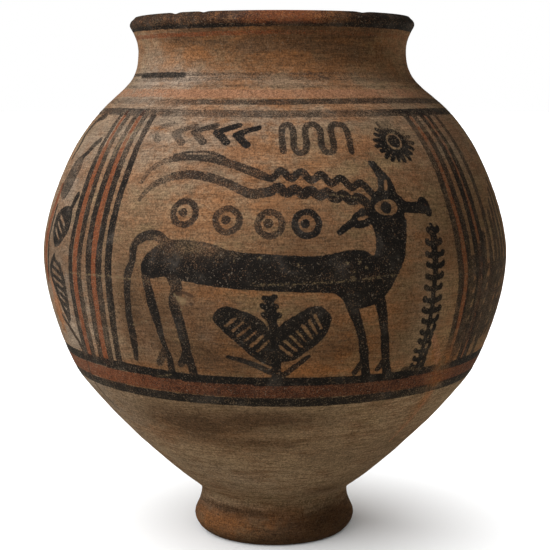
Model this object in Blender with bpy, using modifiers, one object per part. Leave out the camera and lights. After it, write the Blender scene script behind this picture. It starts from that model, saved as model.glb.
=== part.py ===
"""A wheel-thrown terracotta storage jar on a short pedestal foot.

The jar is one piece of fired clay: a thickened lip, a short neck, a full
round body that tapers to a narrow waist, and a foot that flares below it.
It is hollow and empty, and stands upright on the ring under its foot.
Units are metres and degrees. The jar's axis is Z, and it stands on Z = 0.
"""

import math
from typing import NamedTuple

import bpy
from mathutils import Vector
from mathutils.geometry import interpolate_bezier

# Overall height
HEIGHT = 0.380

# Lip: drops are measured down from the top of the jar
LIP_CREST_RADIUS = 0.0983
LIP_RADIUS = 0.1034
LIP_EDGE_DROP = 0.0060

# Neck and shoulder
NECK_RADIUS = 0.0975
NECK_DROP = 0.0240
SHOULDER_RADIUS = 0.1433
SHOULDER_DROP = 0.0886
SHOULDER_HEADING = -57.8

# Body: heights are measured up from the ground
BELLY_RADIUS = 0.1699
BELLY_HEIGHT = 0.2094
FLANK_RADIUS = 0.1448
FLANK_HEIGHT = 0.1243
FLANK_HEADING = -125.8
CONE_RADIUS = 0.0557
CONE_HEIGHT = 0.0337
CONE_HEADING = -141.6

# Waist and foot
WAIST_RADIUS = 0.0550
WAIST_HEIGHT = 0.0275
FOOT_RADIUS = 0.0601
FOOT_BULGE_HEIGHT = 0.0121
STANDING_RADIUS = 0.0509
STANDING_RING_WIDTH = 0.0149
RECESS_DEPTH = 0.0060

# Thickness of the clay
WALL = 0.0080
FLOOR_THICKNESS = 0.0220

# Fineness of the turned surface
SIDES = 72
OUTER_PIECES = (4, 5, 7, 7, 6, 5, 3, 3, 3)
INNER_PIECES = (4, 4, 4, 3)
FLOOR_PIECES = 4
MOUTH_PIECES = 3
RECESS_PIECES = 3

# Fired clay
CLAY_COLOUR = (0.33, 0.20, 0.11, 1.0)
CLAY_ROUGHNESS = 0.85
CLAY_METALLIC = 0.0

STRAIGHT_DOWN = -90.0
OUTWARD = 0.0
INWARD = 180.0
MERGE_DISTANCE = 0.00001
SHARP_ANGLE = 40.0


class Knot(NamedTuple):
    """A point that the outline passes through, and how it passes.

    The heading is the outline's direction there, 0 for outward and -90 for
    straight down. The reaches say how far the outline holds that heading
    before and after the point, as shares of the distance to its neighbour.
    """

    radius: float
    height: float
    heading: float
    reach_before: float
    reach_after: float

    def place(self):
        """The knot as a point in the XZ plane."""
        return Vector((self.radius, 0.0, self.height))

    def direction(self):
        """The outline's unit direction at the knot."""
        angle = math.radians(self.heading)
        return Vector((math.cos(angle), 0.0, math.sin(angle)))


def outer_knots():
    """The knots of the outer side, from the crest of the lip to the ground."""
    return (
        Knot(LIP_CREST_RADIUS, HEIGHT, OUTWARD, 0.33, 0.41),
        Knot(LIP_RADIUS, HEIGHT - LIP_EDGE_DROP, STRAIGHT_DOWN, 0.35, 0.07),
        Knot(NECK_RADIUS, HEIGHT - NECK_DROP, STRAIGHT_DOWN, 0.53, 0.39),
        Knot(SHOULDER_RADIUS, HEIGHT - SHOULDER_DROP, SHOULDER_HEADING, 0.60, 0.15),
        Knot(BELLY_RADIUS, BELLY_HEIGHT, STRAIGHT_DOWN, 0.37, 0.41),
        Knot(FLANK_RADIUS, FLANK_HEIGHT, FLANK_HEADING, 0.07, 0.39),
        Knot(CONE_RADIUS, CONE_HEIGHT, CONE_HEADING, 0.26, 0.21),
        Knot(WAIST_RADIUS, WAIST_HEIGHT, STRAIGHT_DOWN, 0.22, 0.33),
        Knot(FOOT_RADIUS, FOOT_BULGE_HEIGHT, STRAIGHT_DOWN, 0.14, 0.41),
        Knot(STANDING_RADIUS, 0.0, -160.0, 0.36, 0.0),
    )


def stretch(start, end, pieces):
    """Points along the smooth curve from one knot to the next, both included."""
    chord = (end.place() - start.place()).length
    handle_out = start.place() + start.direction() * chord * start.reach_after
    handle_in = end.place() - end.direction() * chord * end.reach_before
    return interpolate_bezier(start.place(), handle_out, handle_in, end.place(), pieces + 1)


def outline(knots, pieces):
    """Points through all the knots, each shared point once."""
    points = [knots[0].place()]
    for start, end, count in zip(knots, knots[1:], pieces):
        points.extend(stretch(start, end, count)[1:])
    return points


def inset(points, first, last, distance):
    """The line of points moved into the clay, square to itself.

    The first and last directions are those of the knots at its ends.
    """
    moved = []
    for index, point in enumerate(points):
        if index == 0:
            along = first
        elif index == len(points) - 1:
            along = last
        else:
            along = (points[index + 1] - points[index - 1]).normalized()
        into_clay = Vector((along.z, 0.0, -along.x))
        moved.append(point + into_clay * distance)
    return moved


def inner_wall(knots):
    """The inner side from the neck down to the edge of the floor."""
    wall_knots = knots[2:7]
    outer_line = outline(wall_knots, INNER_PIECES)
    return inset(outer_line, wall_knots[0].direction(), wall_knots[-1].direction(), WALL)


def floor_curve(edge):
    """The dished floor from the foot of the inner wall to the axis."""
    start = Knot(edge.x, edge.z, CONE_HEADING, 0.0, 0.30)
    centre = Knot(0.0, RECESS_DEPTH + FLOOR_THICKNESS, INWARD, 0.35, 0.0)
    return stretch(start, centre, FLOOR_PIECES)


def mouth_curve(inner_neck, crest):
    """The inside of the mouth, from the crest of the lip to the inner neck."""
    start = Knot(crest.radius, crest.height, INWARD, 0.0, 0.25)
    end = Knot(inner_neck.x, inner_neck.z, STRAIGHT_DOWN, 0.45, 0.0)
    return stretch(start, end, MOUTH_PIECES)


def recess_curve():
    """The shallow hollow under the foot, from the standing ring to the axis."""
    ring_inside = STANDING_RADIUS - STANDING_RING_WIDTH
    start = Knot(ring_inside, 0.0, 150.0, 0.0, 0.30)
    centre = Knot(0.0, RECESS_DEPTH, INWARD, 0.40, 0.0)
    return stretch(start, centre, RECESS_PIECES)


def jar_profile():
    """The closed half section, from the floor's centre over the lip to the foot's centre."""
    knots = outer_knots()
    wall = inner_wall(knots)
    inside = mouth_curve(wall[0], knots[0]) + wall[1:] + floor_curve(wall[-1])[1:]
    outside = outline(knots, OUTER_PIECES)
    underside = recess_curve()
    return list(reversed(inside)) + outside[1:] + underside


def clay_material():
    """Plain fired clay."""
    material = bpy.data.materials.new("terracotta")
    material.use_nodes = True
    shader = material.node_tree.nodes["Principled BSDF"]
    shader.inputs["Base Color"].default_value = CLAY_COLOUR
    shader.inputs["Roughness"].default_value = CLAY_ROUGHNESS
    shader.inputs["Metallic"].default_value = CLAY_METALLIC
    material.diffuse_color = CLAY_COLOUR
    return material


def turn_vessel(collection):
    """Turn the half section about the jar's axis into one closed solid."""
    profile = jar_profile()
    mesh = bpy.data.meshes.new("vessel")
    links = [(index, index + 1) for index in range(len(profile) - 1)]
    mesh.from_pydata(profile, links, [])
    vessel = bpy.data.objects.new("vessel", mesh)
    collection.objects.link(vessel)

    screw = vessel.modifiers.new("turning", "SCREW")
    screw.axis = "Z"
    screw.angle = math.tau
    screw.steps = SIDES
    screw.render_steps = SIDES
    screw.use_merge_vertices = True
    screw.merge_threshold = MERGE_DISTANCE
    screw.use_smooth_shade = True

    bake_turning(vessel)
    vessel.data.materials.append(clay_material())
    return vessel


def bake_turning(vessel):
    """Keep the turned surface as the mesh, smooth but for its real edges."""
    depsgraph = bpy.context.evaluated_depsgraph_get()
    turned = bpy.data.meshes.new_from_object(vessel.evaluated_get(depsgraph))
    turned.name = "vessel_turned"
    vessel.modifiers.clear()
    vessel.data = turned
    turned.shade_smooth()
    turned.set_sharp_from_angle(angle=math.radians(SHARP_ANGLE))


def clear_scene():
    """Remove whatever the scene holds."""
    for item in list(bpy.data.objects):
        bpy.data.objects.remove(item, do_unlink=True)


def main():
    """Build the jar in a collection of its own."""
    clear_scene()
    collection = bpy.data.collections.new("terracotta_vessel")
    bpy.context.scene.collection.children.link(collection)
    turn_vessel(collection)


main()
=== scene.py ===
"""A painted terracotta storage jar standing on a pale floor in soft light.

The jar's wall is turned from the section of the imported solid, and keeps its
form. The painted bands, plants and the long-horned animal are laid on the
wall as distances from the edges of brush strokes. The clay's shaders turn
those distances into worn paint. Azimuths are degrees from the front of the
jar toward its right side, heights and other lengths are millimetres.
"""

import logging
import math
from collections.abc import Callable
from dataclasses import dataclass, field, replace
from enum import Enum

import bmesh
import bpy
import numpy as np
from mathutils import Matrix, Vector


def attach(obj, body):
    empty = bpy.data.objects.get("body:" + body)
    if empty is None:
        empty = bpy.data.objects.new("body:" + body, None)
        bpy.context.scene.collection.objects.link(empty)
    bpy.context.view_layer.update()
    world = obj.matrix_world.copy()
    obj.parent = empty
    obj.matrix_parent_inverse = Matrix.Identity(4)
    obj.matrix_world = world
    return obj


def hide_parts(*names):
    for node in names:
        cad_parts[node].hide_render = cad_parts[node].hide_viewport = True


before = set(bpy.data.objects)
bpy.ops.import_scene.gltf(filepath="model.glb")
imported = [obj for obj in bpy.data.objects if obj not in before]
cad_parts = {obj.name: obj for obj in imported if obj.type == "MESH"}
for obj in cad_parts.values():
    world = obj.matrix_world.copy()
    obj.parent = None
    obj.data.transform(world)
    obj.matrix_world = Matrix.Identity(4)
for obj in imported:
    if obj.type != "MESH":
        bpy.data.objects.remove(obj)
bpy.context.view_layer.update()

LOG = logging.getLogger("jar")

Spot = tuple[float, float]
Spots = tuple[Spot, ...]
Colour = tuple[float, float, float]

MM = 0.001


def smooth_step(low: float, high: float, value: np.ndarray) -> np.ndarray:
    """A smooth rise from 0 at low to 1 at high."""
    share = np.clip((value - low) / (high - low), 0.0, 1.0)
    return share * share * (3.0 - 2.0 * share)


def curve_through(points: np.ndarray, spacing: float, closed: bool = False) -> np.ndarray:
    """Sample the smooth curve that passes through some points.

    Args:
        points: One row a point. The first two columns set the curve's pace.
        spacing: Distance between samples, in the unit of those columns.
        closed: Whether the curve returns to its first point.

    Returns:
        One row a sample, with as many columns as the points.
    """
    if closed:
        padded = np.vstack((points[-1], points, points[0], points[1]))
    else:
        ahead = 2.0 * points[0] - points[1]
        beyond = 2.0 * points[-1] - points[-2]
        padded = np.vstack((ahead, points, beyond))
    pieces = []
    for index in range(len(padded) - 3):
        corners = padded[index : index + 4]
        gaps = np.linalg.norm(np.diff(corners[:, :2], axis=0), axis=1)
        times = np.concatenate(((0.0,), np.cumsum(np.sqrt(np.maximum(gaps, 1e-6)))))
        count = max(1, math.ceil(gaps[1] / spacing))
        time = np.linspace(times[1], times[2], count, endpoint=False)[:, None]
        pieces.append(blend_corners(corners, times, time))
    if not closed:
        pieces.append(points[-1:])
    return np.vstack(pieces)


def blend_corners(corners: np.ndarray, times: np.ndarray, time: np.ndarray) -> np.ndarray:
    """Draw the part of a smooth curve between the second and third of four corners.

    Args:
        corners: The four corners, one row each.
        times: The pace of the curve at each of them.
        time: One row a sample, from the second to the third of those times.

    Returns:
        One row a sample.
    """
    level = list(corners)
    for spans in (((0, 1), (1, 2), (2, 3)), ((0, 2), (1, 3)), ((1, 2),)):
        shares = [(time - times[a]) / (times[b] - times[a]) for a, b in spans]
        level = [a * (1.0 - share) + b * share for a, b, share in zip(level, level[1:], shares)]
    return level[0]


def put(name: str, data: bpy.types.ID) -> bpy.types.Object:
    """Put an object that shows a mesh, a lamp or a camera in the scene."""
    made = bpy.data.objects.new(name, data)
    bpy.context.scene.collection.objects.link(made)
    return made


def turned(azimuth: np.ndarray, middle: float | np.ndarray) -> np.ndarray:
    """Azimuths measured from some middle, from -180 to 180."""
    return (azimuth - middle + 180.0) % 360.0 - 180.0


class Waves:
    """Seeded smooth variation round the jar and along its wall."""

    def __init__(self, seed: int, count: int, turns: tuple[int, int], period: Spot) -> None:
        """Choose the waves.

        Args:
            seed: Seed of the random choice.
            count: Number of waves.
            turns: Fewest and most wave crests round the jar.
            period: Shortest and longest wave along the wall, in mm.
        """
        chance = np.random.default_rng(seed)
        self.turns = chance.integers(turns[0], turns[1] + 1, count)
        self.pace = math.tau / chance.uniform(period[0], period[1], count)
        self.phase = chance.uniform(0.0, math.tau, count)
        self.count = count

    def __call__(self, azimuth: np.ndarray, along: np.ndarray) -> np.ndarray:
        """The sum of the waves at some places, mostly between -1 and 1."""
        total = np.zeros_like(azimuth)
        angle = np.radians(azimuth)
        for turns, pace, phase in zip(self.turns, self.pace, self.phase):
            total += np.sin(turns * angle + pace * along + phase)
        return total / math.sqrt(self.count)


@dataclass(frozen=True)
class JarSection:
    """The jar's turned outline, from the middle of its floor over the lip to under its foot.

    Args:
        along: Distance along the outline from the lip's crest, negative inside the jar.
        radius: Radius at each of those distances.
        height: Height at each of those distances.
    """

    along: np.ndarray
    radius: np.ndarray
    height: np.ndarray

    @classmethod
    def from_solid(cls, solid: bpy.types.Object) -> "JarSection":
        """Read the section from the turned solid, and round it between its points.

        Args:
            solid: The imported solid, turned about Z with a row of vertices over +X.

        Returns:
            The section, sampled every half millimetre.
        """
        line = cls.walk(*cls.half_plane(solid))
        curve = curve_through(np.array(line), 0.5)
        radius = np.clip(curve[:, 0], 0.0, max(point[0] for point in line))
        height = np.clip(curve[:, 1], 0.0, max(point[1] for point in line))
        steps = np.hypot(np.diff(radius), np.diff(height))
        along = np.concatenate(((0.0,), np.cumsum(steps)))
        return cls(along - along[np.argmax(height)], radius, height)

    @staticmethod
    def half_plane(solid: bpy.types.Object) -> tuple[dict, Spot]:
        """Read the solid's edges over +X.

        Args:
            solid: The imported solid.

        Returns:
            The places next to each place, and the middle of the jar's floor.
        """
        spots = {}
        for vertex in solid.data.vertices:
            place = vertex.co / MM
            if abs(place.y) < 0.005 and place.x > -0.005:
                spots[vertex.index] = (round(place.x, 2) + 0.0, round(place.z, 2) + 0.0)
        neighbours = {spot: set() for spot in spots.values()}
        for edge in solid.data.edges:
            start, end = (spots.get(index) for index in edge.vertices)
            if start is not None and end is not None and start != end:
                neighbours[start].add(end)
                neighbours[end].add(start)
        floor = max(spot for spot in neighbours if spot[0] < 0.01)
        return neighbours, floor

    @staticmethod
    def walk(neighbours: dict, start: Spot) -> list[Spot]:
        """Follow the chain of places from the start to its other end.

        Args:
            neighbours: The places next to each place.
            start: The first place.

        Returns:
            The places in their order.
        """
        line = [start]
        while True:
            onward = [spot for spot in neighbours[line[-1]] if spot not in line]
            if not onward:
                return line
            line.append(onward[0])

    def outer_part(self) -> tuple[np.ndarray, np.ndarray, np.ndarray]:
        """Rising heights of the outer wall with their radii and distances."""
        ground = int(np.argmax((self.along > 0.0) & (self.height < 0.01)))
        crest = int(np.argmax(self.height))
        part = slice(crest, ground + 1)
        return self.height[part][::-1], self.radius[part][::-1], self.along[part][::-1]

    def outer_radius(self, height: np.ndarray) -> np.ndarray:
        """Radius of the outer wall at some heights."""
        heights, radii, _ = self.outer_part()
        return np.interp(height, heights, radii)

    def outer_along(self, height: np.ndarray) -> np.ndarray:
        """Distance from the crest to some heights of the outer wall."""
        heights, _, distances = self.outer_part()
        return np.interp(height, heights, distances)

    def places(self, azimuth: np.ndarray, along: np.ndarray) -> np.ndarray:
        """Points on the plain turned wall, one row a point."""
        radius = np.interp(along, self.along, self.radius)
        height = np.interp(along, self.along, self.height)
        angle = np.radians(azimuth)
        return np.stack((radius * np.sin(angle), -radius * np.cos(angle), height), axis=1)

    def wall_places(self, azimuth: np.ndarray, height: np.ndarray) -> np.ndarray:
        """Points on the plain outer wall at some heights, one row a point."""
        return self.places(azimuth, self.outer_along(height))


SECTION = JarSection.from_solid(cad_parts["vessel"])
GROUND = float(SECTION.outer_along(0.0))

# Where each part of the wall starts on the flat map, and how much of the map's height it takes.
OUTER_MAP = (0.995, 0.70)
INNER_MAP = (0.285, 0.225)
UNDER_MAP = (0.05, 0.045)


@dataclass(frozen=True)
class HandThrowing:
    """What the potter's hands and the kiln left on the turned form.

    Args:
        neck_lean: How far the mouth stands to the left of the axis.
        foot_lean: How far the foot stands to the left of the axis.
        rim_drop: How much lower the rim is on its left than on its right.
        ridge: Depth of the throwing ridges outside.
        finger_ridge: Depth of the broader ridges inside.
        hollow: Greatest depth of the wall's slow waves.
        lip_flat: Depth of the flat on the lip's upper outer edge.
        fullness: How far the flank stands outside the turned form.
        nicks: Azimuth, half width in degrees and depth of dents in the rim.
        trims: Azimuth, height and depth of flat spots left by trimming.
    """

    neck_lean: float = 2.1
    foot_lean: float = 0.6
    rim_drop: float = 0.6
    ridge: float = 0.08
    finger_ridge: float = 0.45
    hollow: float = 0.16
    lip_flat: float = 0.8
    fullness: float = 0.9
    nicks: tuple = ((-41.2, 1.9, 1.1), (-27.3, 1.5, 0.8), (38, 2.6, 0.7), (151, 3, 1))
    trims: tuple = (
        (-79, 104, 0.6), (-76, 86, 0.5), (72, 76, 0.5), (24, 74, 0.5), (-20, 66, 0.5), (140, 90, 0.7),
        (-150, 70, 0.6),
    )
    waves: Waves = field(default_factory=lambda: Waves(11, 9, (1, 4), (70.0, 260.0)))
    turning: Waves = field(default_factory=lambda: Waves(12, 10, (0, 1), (5.5, 13.0)))
    fingers: Waves = field(default_factory=lambda: Waves(13, 6, (0, 1), (11.0, 22.0)))

    def depth(self, azimuth: np.ndarray, along: np.ndarray, height: np.ndarray) -> np.ndarray:
        """Measure how far the wall lies inside the plain turned form.

        Args:
            azimuth: Azimuth of each point.
            along: Distance of each point along the section from the lip's crest.
            height: Height of each point.

        Returns:
            The depth at each point, in mm.
        """
        outside = along > 0.0
        low_body = smooth_step(150.0, 110.0, height) * smooth_step(26.0, 45.0, height)
        ridge = self.ridge * (1.0 + 1.6 * low_body)
        outer = ridge * (1.0 + 0.6 * self.turning(azimuth, along))
        inner = self.finger_ridge * (1.0 + 0.6 * self.fingers(azimuth, along))
        slow = self.hollow * (0.5 + 0.5 * self.waves(azimuth, along))
        slow += self.lip_flat * np.exp(-(((along - 3.6) / 2.0) ** 2))
        deep = np.where(outside, np.clip(outer, 0.0, None) + slow, np.clip(inner, 0.0, None))
        deep -= np.where(outside, self.fullness * np.exp(-(((height - 124.0) / 38.0) ** 2)), 0.0)
        deep *= smooth_step(0.0, 5.0, height) * smooth_step(0.0, 3.0, np.abs(along))
        for middle, level, trim in self.trims:
            across = turned(azimuth, middle)
            reach = (across / 7.0) ** 2 + ((height - level) / 6.5) ** 2
            deep += np.where(outside, trim * np.exp(-reach), 0.0)
        return deep

    def points(self, azimuth: np.ndarray, along: np.ndarray) -> np.ndarray:
        """Place points on the thrown wall.

        Args:
            azimuth: Azimuth of each point.
            along: Distance of each point along the section from the lip's crest.

        Returns:
            Their places in metres, one row a point.
        """
        place = SECTION.places(azimuth, along)
        height = place[:, 2].copy()
        radius = np.hypot(place[:, 0], place[:, 1])
        shrink = self.depth(azimuth, along, height) / np.maximum(radius, 1.0)
        place[:, :2] *= (1.0 - shrink * smooth_step(0.0, 25.0, radius))[:, None]
        crest = np.exp(-((along / 5.0) ** 2))
        for middle, half, deep in self.nicks:
            across = turned(azimuth, middle)
            place[:, 2] -= deep * crest * np.exp(-((across / half) ** 2))
        rise = smooth_step(308.0, 352.0, height)
        place[:, 0] -= self.neck_lean * rise + self.foot_lean * smooth_step(70.0, 20.0, height)
        side = place[:, 0] / 103.0
        place[:, 2] += self.rim_drop * 0.5 * (side - 1.0) * smooth_step(325.0, 372.0, height)
        return place * MM


THROWN = HandThrowing()


class Coat(Enum):
    """What lies on the clay: each coat is one pair of fields on the wall."""

    BLACK = "black"
    RED = "red"
    WASH = "wash"
    SCRATCH = "scratch"
    CRACK = "crack"


@dataclass(frozen=True)
class Panel:
    """A side of the jar that motifs are painted on.

    Args:
        middle: Azimuth of the panel's middle.
        side: 1 to paint the motifs as they are, -1 to paint their mirror image.
        lift: How much higher the motifs stand, in mm.
    """

    middle: float = 0.0
    side: int = 1
    lift: float = 0.0

    def spot(self, place: Spot) -> Spot:
        """A place given for the front, moved to this panel."""
        return (self.middle + self.side * place[0], place[1] + self.lift)


class Wall:
    """Points of the outer wall that paint is laid on."""

    def __init__(self, azimuth: np.ndarray, along: np.ndarray) -> None:
        """Place the points on the plain turned wall.

        Args:
            azimuth: Azimuth of each point.
            along: Distance of each point along the section from the lip's crest.
        """
        self.azimuth = azimuth
        self.along = along
        self.point = SECTION.places(azimuth, along)
        self.height = self.point[:, 2]
        self.outside = along > 0.0

    def across(self, middle: float) -> np.ndarray:
        """Azimuths measured from some middle, from -180 to 180."""
        return turned(self.azimuth, middle)

    def near(self, middle: float, half: float, low: float, high: float) -> np.ndarray:
        """Indices of the outer points inside a range of azimuths and heights."""
        level = (self.height > low) & (self.height < high) & self.outside
        return np.nonzero(level & (np.abs(self.across(middle)) < half))[0]


REACH = 6.0
SAMPLE = 1.6
LEAST_RADIUS = 90.0
FAR = 1e9


@dataclass(frozen=True, kw_only=True)
class Mark:
    """One touch of a brush, or one piece of damage.

    Args:
        coat: What it is made of.
        wear: How much of it is worn away, from 0 to 1.
        spare: Whether it leaves clay bare inside earlier marks of its coat.
        fine: Whether its edges need the finest mesh.
    """

    coat: Coat = Coat.BLACK
    wear: float = 0.3
    spare: bool = False
    fine: bool = False

    def moved(self, panel: Panel) -> "Mark":
        """The same mark on another panel."""
        return replace(self, spots=tuple(panel.spot(spot) for spot in self.spots))

    def control(self) -> np.ndarray:
        """The mark's spots as mm round and up the wall, then azimuth and height."""
        spots = np.array(self.spots, dtype=float)
        pace = math.radians(1.0) * float(SECTION.outer_radius(spots[:, 1]).mean())
        return np.column_stack((spots[:, 0] * pace, SECTION.outer_along(spots[:, 1]), spots))

    @staticmethod
    def nearby(wall: Wall, line: np.ndarray, margin: float) -> tuple[np.ndarray, float]:
        """Find the points of a wall that a line may reach.

        Args:
            wall: The wall.
            line: One row a corner, its azimuth and height in the third and fourth column.
            margin: How far beyond its ends and sides the line reaches, in mm.

        Returns:
            The indices of the points, and the azimuth of the line's middle.
        """
        middle = float(line[:, 2].mean())
        half = float(np.abs(line[:, 2] - middle).max()) + math.degrees(margin / LEAST_RADIUS)
        level = line[:, 3]
        return wall.near(middle, half, level.min() - margin, level.max() + margin), middle


def degrees_per_mm(height: float) -> float:
    """Degrees of azimuth to a millimetre across the wall at a height."""
    return math.degrees(1.0 / float(SECTION.outer_radius(height)))


def spread(values: tuple[float, ...], count: int) -> np.ndarray:
    """Some values spread evenly over a count of places."""
    own = np.linspace(0.0, 1.0, len(values))
    return np.interp(np.linspace(0.0, 1.0, count), own, values)


def nearest_piece(points: np.ndarray, line: np.ndarray) -> tuple[np.ndarray, np.ndarray]:
    """Distance from points to a line of pieces, with the place of the nearest.

    Args:
        points: One row a point.
        line: One row a corner of the line.

    Returns:
        The distance from each point to the line, and the place along the
        line's rows that is nearest, counted in rows.
    """
    best = np.full(len(points), FAR)
    place = np.zeros(len(points))
    for index in range(len(line) - 1):
        start = line[index]
        step = line[index + 1] - start
        length = max(float(step @ step), 1e-9)
        share = np.clip((points - start) @ step / length, 0.0, 1.0)
        gap = np.linalg.norm(points - start - share[:, None] * step, axis=1)
        closer = gap < best
        best = np.where(closer, gap, best)
        place = np.where(closer, index + share, place)
    return best, place


@dataclass(frozen=True)
class Stroke(Mark):
    """A brush stroke through some spots, as wide as given at each of them."""

    spots: Spots
    widths: tuple[float, ...] = (3.0,)

    def field(self, wall: Wall) -> tuple[np.ndarray, np.ndarray]:
        """Indices of the points near the stroke, and their distance from its edge."""
        control = self.control()
        line = curve_through(np.column_stack((control, spread(self.widths, len(control)))), SAMPLE)
        index, _ = self.nearby(wall, line, REACH + max(self.widths))
        corners = SECTION.wall_places(line[:, 2], line[:, 3])
        gap, place = nearest_piece(wall.point[index], corners)
        radius = np.interp(place, np.arange(len(line)), line[:, 4]) * 0.5
        return index, gap - radius


@dataclass(frozen=True)
class Patch(Mark):
    """A filled shape with a smooth outline through some spots."""

    spots: Spots

    def field(self, wall: Wall) -> tuple[np.ndarray, np.ndarray]:
        """Indices of the points near the shape, and their distance from its edge."""
        line = curve_through(self.control(), SAMPLE, closed=True)
        line = np.vstack((line, line[:1]))
        index, middle = self.nearby(wall, line, REACH)
        corners = SECTION.wall_places(line[:, 2], line[:, 3])
        gap, _ = nearest_piece(wall.point[index], corners)
        across = wall.across(middle)[index]
        inside = self.holds(across, wall.height[index], line[:, 2] - middle, line[:, 3])
        return index, np.where(inside, -gap, gap)

    @staticmethod
    def holds(
        across: np.ndarray, level: np.ndarray, edge_across: np.ndarray, edge_level: np.ndarray
    ) -> np.ndarray:
        """Find which points lie inside a closed outline, by the crossings to their right.

        Args:
            across: Azimuth of each point.
            level: Height of each point.
            edge_across: Azimuth of each corner of the outline.
            edge_level: Height of each corner of the outline.

        Returns:
            True for each point inside.
        """
        inside = np.zeros(len(across), dtype=bool)
        for index in range(len(edge_across) - 1):
            low, high = edge_level[index], edge_level[index + 1]
            if low == high:
                continue
            crosses = (level > min(low, high)) & (level <= max(low, high))
            share = (level - low) / (high - low)
            meets = edge_across[index] + share * (edge_across[index + 1] - edge_across[index])
            inside ^= crosses & (across < meets)
        return inside


@dataclass(frozen=True)
class Ring(Mark):
    """A round line, or a disc where its radius is 0."""

    spots: Spots
    radius: float
    width: float

    def field(self, wall: Wall) -> tuple[np.ndarray, np.ndarray]:
        """Indices of the points near the ring, and their distance from its edge."""
        azimuth, height = self.spots[0]
        margin = REACH + self.radius + self.width
        half = math.degrees(margin / LEAST_RADIUS)
        index = wall.near(azimuth, half, height - margin, height + margin)
        centre = SECTION.wall_places(np.array((azimuth,)), np.array((height,)))
        gap = np.linalg.norm(wall.point[index] - centre, axis=1)
        return index, np.abs(gap - self.radius) - self.width * 0.5


def disc(centre: Spot, radius: float, **looks: object) -> Ring:
    """A round filled spot."""
    return Ring((centre,), radius=0.0, width=radius * 2.0, **looks)


@dataclass(frozen=True)
class Band(Mark):
    """A painted ring round the jar, whose height wanders a little.

    Args:
        spots: Azimuths round the jar with the band's middle height at each.
        width: The band's width in mm, measured up the wall.
        fade: Azimuths with the wear added at each, from 0 to 1.
        narrow_from: Added wear from which the band grows narrower.
        stray: How far its points are looked for beyond its heights, in mm.
    """

    spots: Spots
    width: float
    fade: Spots = ((0.0, 0.0),)
    narrow_from: float = 0.6
    stray: float = 9.0

    def moved(self, panel: Panel) -> "Band":
        """Bands run all round, so they stay as they are."""
        return self

    def field(self, wall: Wall) -> tuple[np.ndarray, np.ndarray]:
        """Indices of the points near the band, and their distance from its edge."""
        levels = np.array(sorted(self.spots))
        margin = self.stray + self.width
        low, high = levels[:, 1].min() - margin, levels[:, 1].max() + margin
        index = wall.near(0.0, 181.0, low, high)
        centre = np.interp(wall.azimuth[index], levels[:, 0], levels[:, 1], period=360.0)
        gap = np.abs(SECTION.outer_along(centre) - wall.along[index])
        thinned = np.clip(self.fade_at(wall.azimuth[index]) - self.narrow_from, 0.0, 1.0)
        return index, gap - self.width * 0.5 + REACH * thinned

    def wear_at(self, azimuth: np.ndarray) -> np.ndarray:
        """The band's wear at some azimuths."""
        return np.clip(self.wear + self.fade_at(azimuth), 0.0, 1.0)

    def fade_at(self, azimuth: np.ndarray) -> np.ndarray:
        """The wear added at some azimuths."""
        faded = np.array(sorted(self.fade))
        return np.interp(azimuth, faded[:, 0], faded[:, 1], period=360.0)


class Coats:
    """The fields of every coat on the points of a wall."""

    def __init__(self, wall: Wall) -> None:
        """Start with bare clay everywhere."""
        count = len(wall.azimuth)
        self.wall = wall
        self.edge = {coat: np.full(count, REACH) for coat in Coat}
        self.wear = {coat: np.full(count, 0.3) for coat in Coat}
        self.nearest = np.full(count, REACH)
        self.nearest_fine = np.full(count, REACH)

    def lay(self, mark: Mark) -> None:
        """Add one mark to its coat.

        Args:
            mark: The mark.
        """
        index, gap = mark.field(self.wall)
        if not len(index):
            return
        edge = self.edge[mark.coat]
        before = edge[index]
        if mark.spare:
            edge[index] = np.maximum(before, -gap)
        else:
            edge[index] = np.minimum(before, gap)
            self.lay_wear(mark, index[gap < before])
        size = np.abs(gap)
        self.nearest[index] = np.minimum(self.nearest[index], size)
        if mark.fine:
            self.nearest_fine[index] = np.minimum(self.nearest_fine[index], size)

    def lay_wear(self, mark: Mark, index: np.ndarray) -> None:
        """Give the points nearest to a mark that mark's wear."""
        if isinstance(mark, Band):
            self.wear[mark.coat][index] = mark.wear_at(self.wall.azimuth[index])
        else:
            self.wear[mark.coat][index] = mark.wear

    def lay_all(self, marks: list[Mark]) -> "Coats":
        """Add some marks in their order."""
        for mark in marks:
            self.lay(mark)
        return self


class Brush:
    """Small seeded differences between strokes of one hand."""

    def __init__(self, seed: int) -> None:
        """Start the hand's own chance."""
        self.chance = np.random.default_rng(seed)

    def about(self, value: float, share: float = 0.1) -> float:
        """A value near the given one."""
        return float(value * (1.0 + share * self.chance.uniform(-1.0, 1.0)))

    def off(self, size: float) -> float:
        """A small difference up or down."""
        return float(self.chance.uniform(-size, size))


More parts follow.
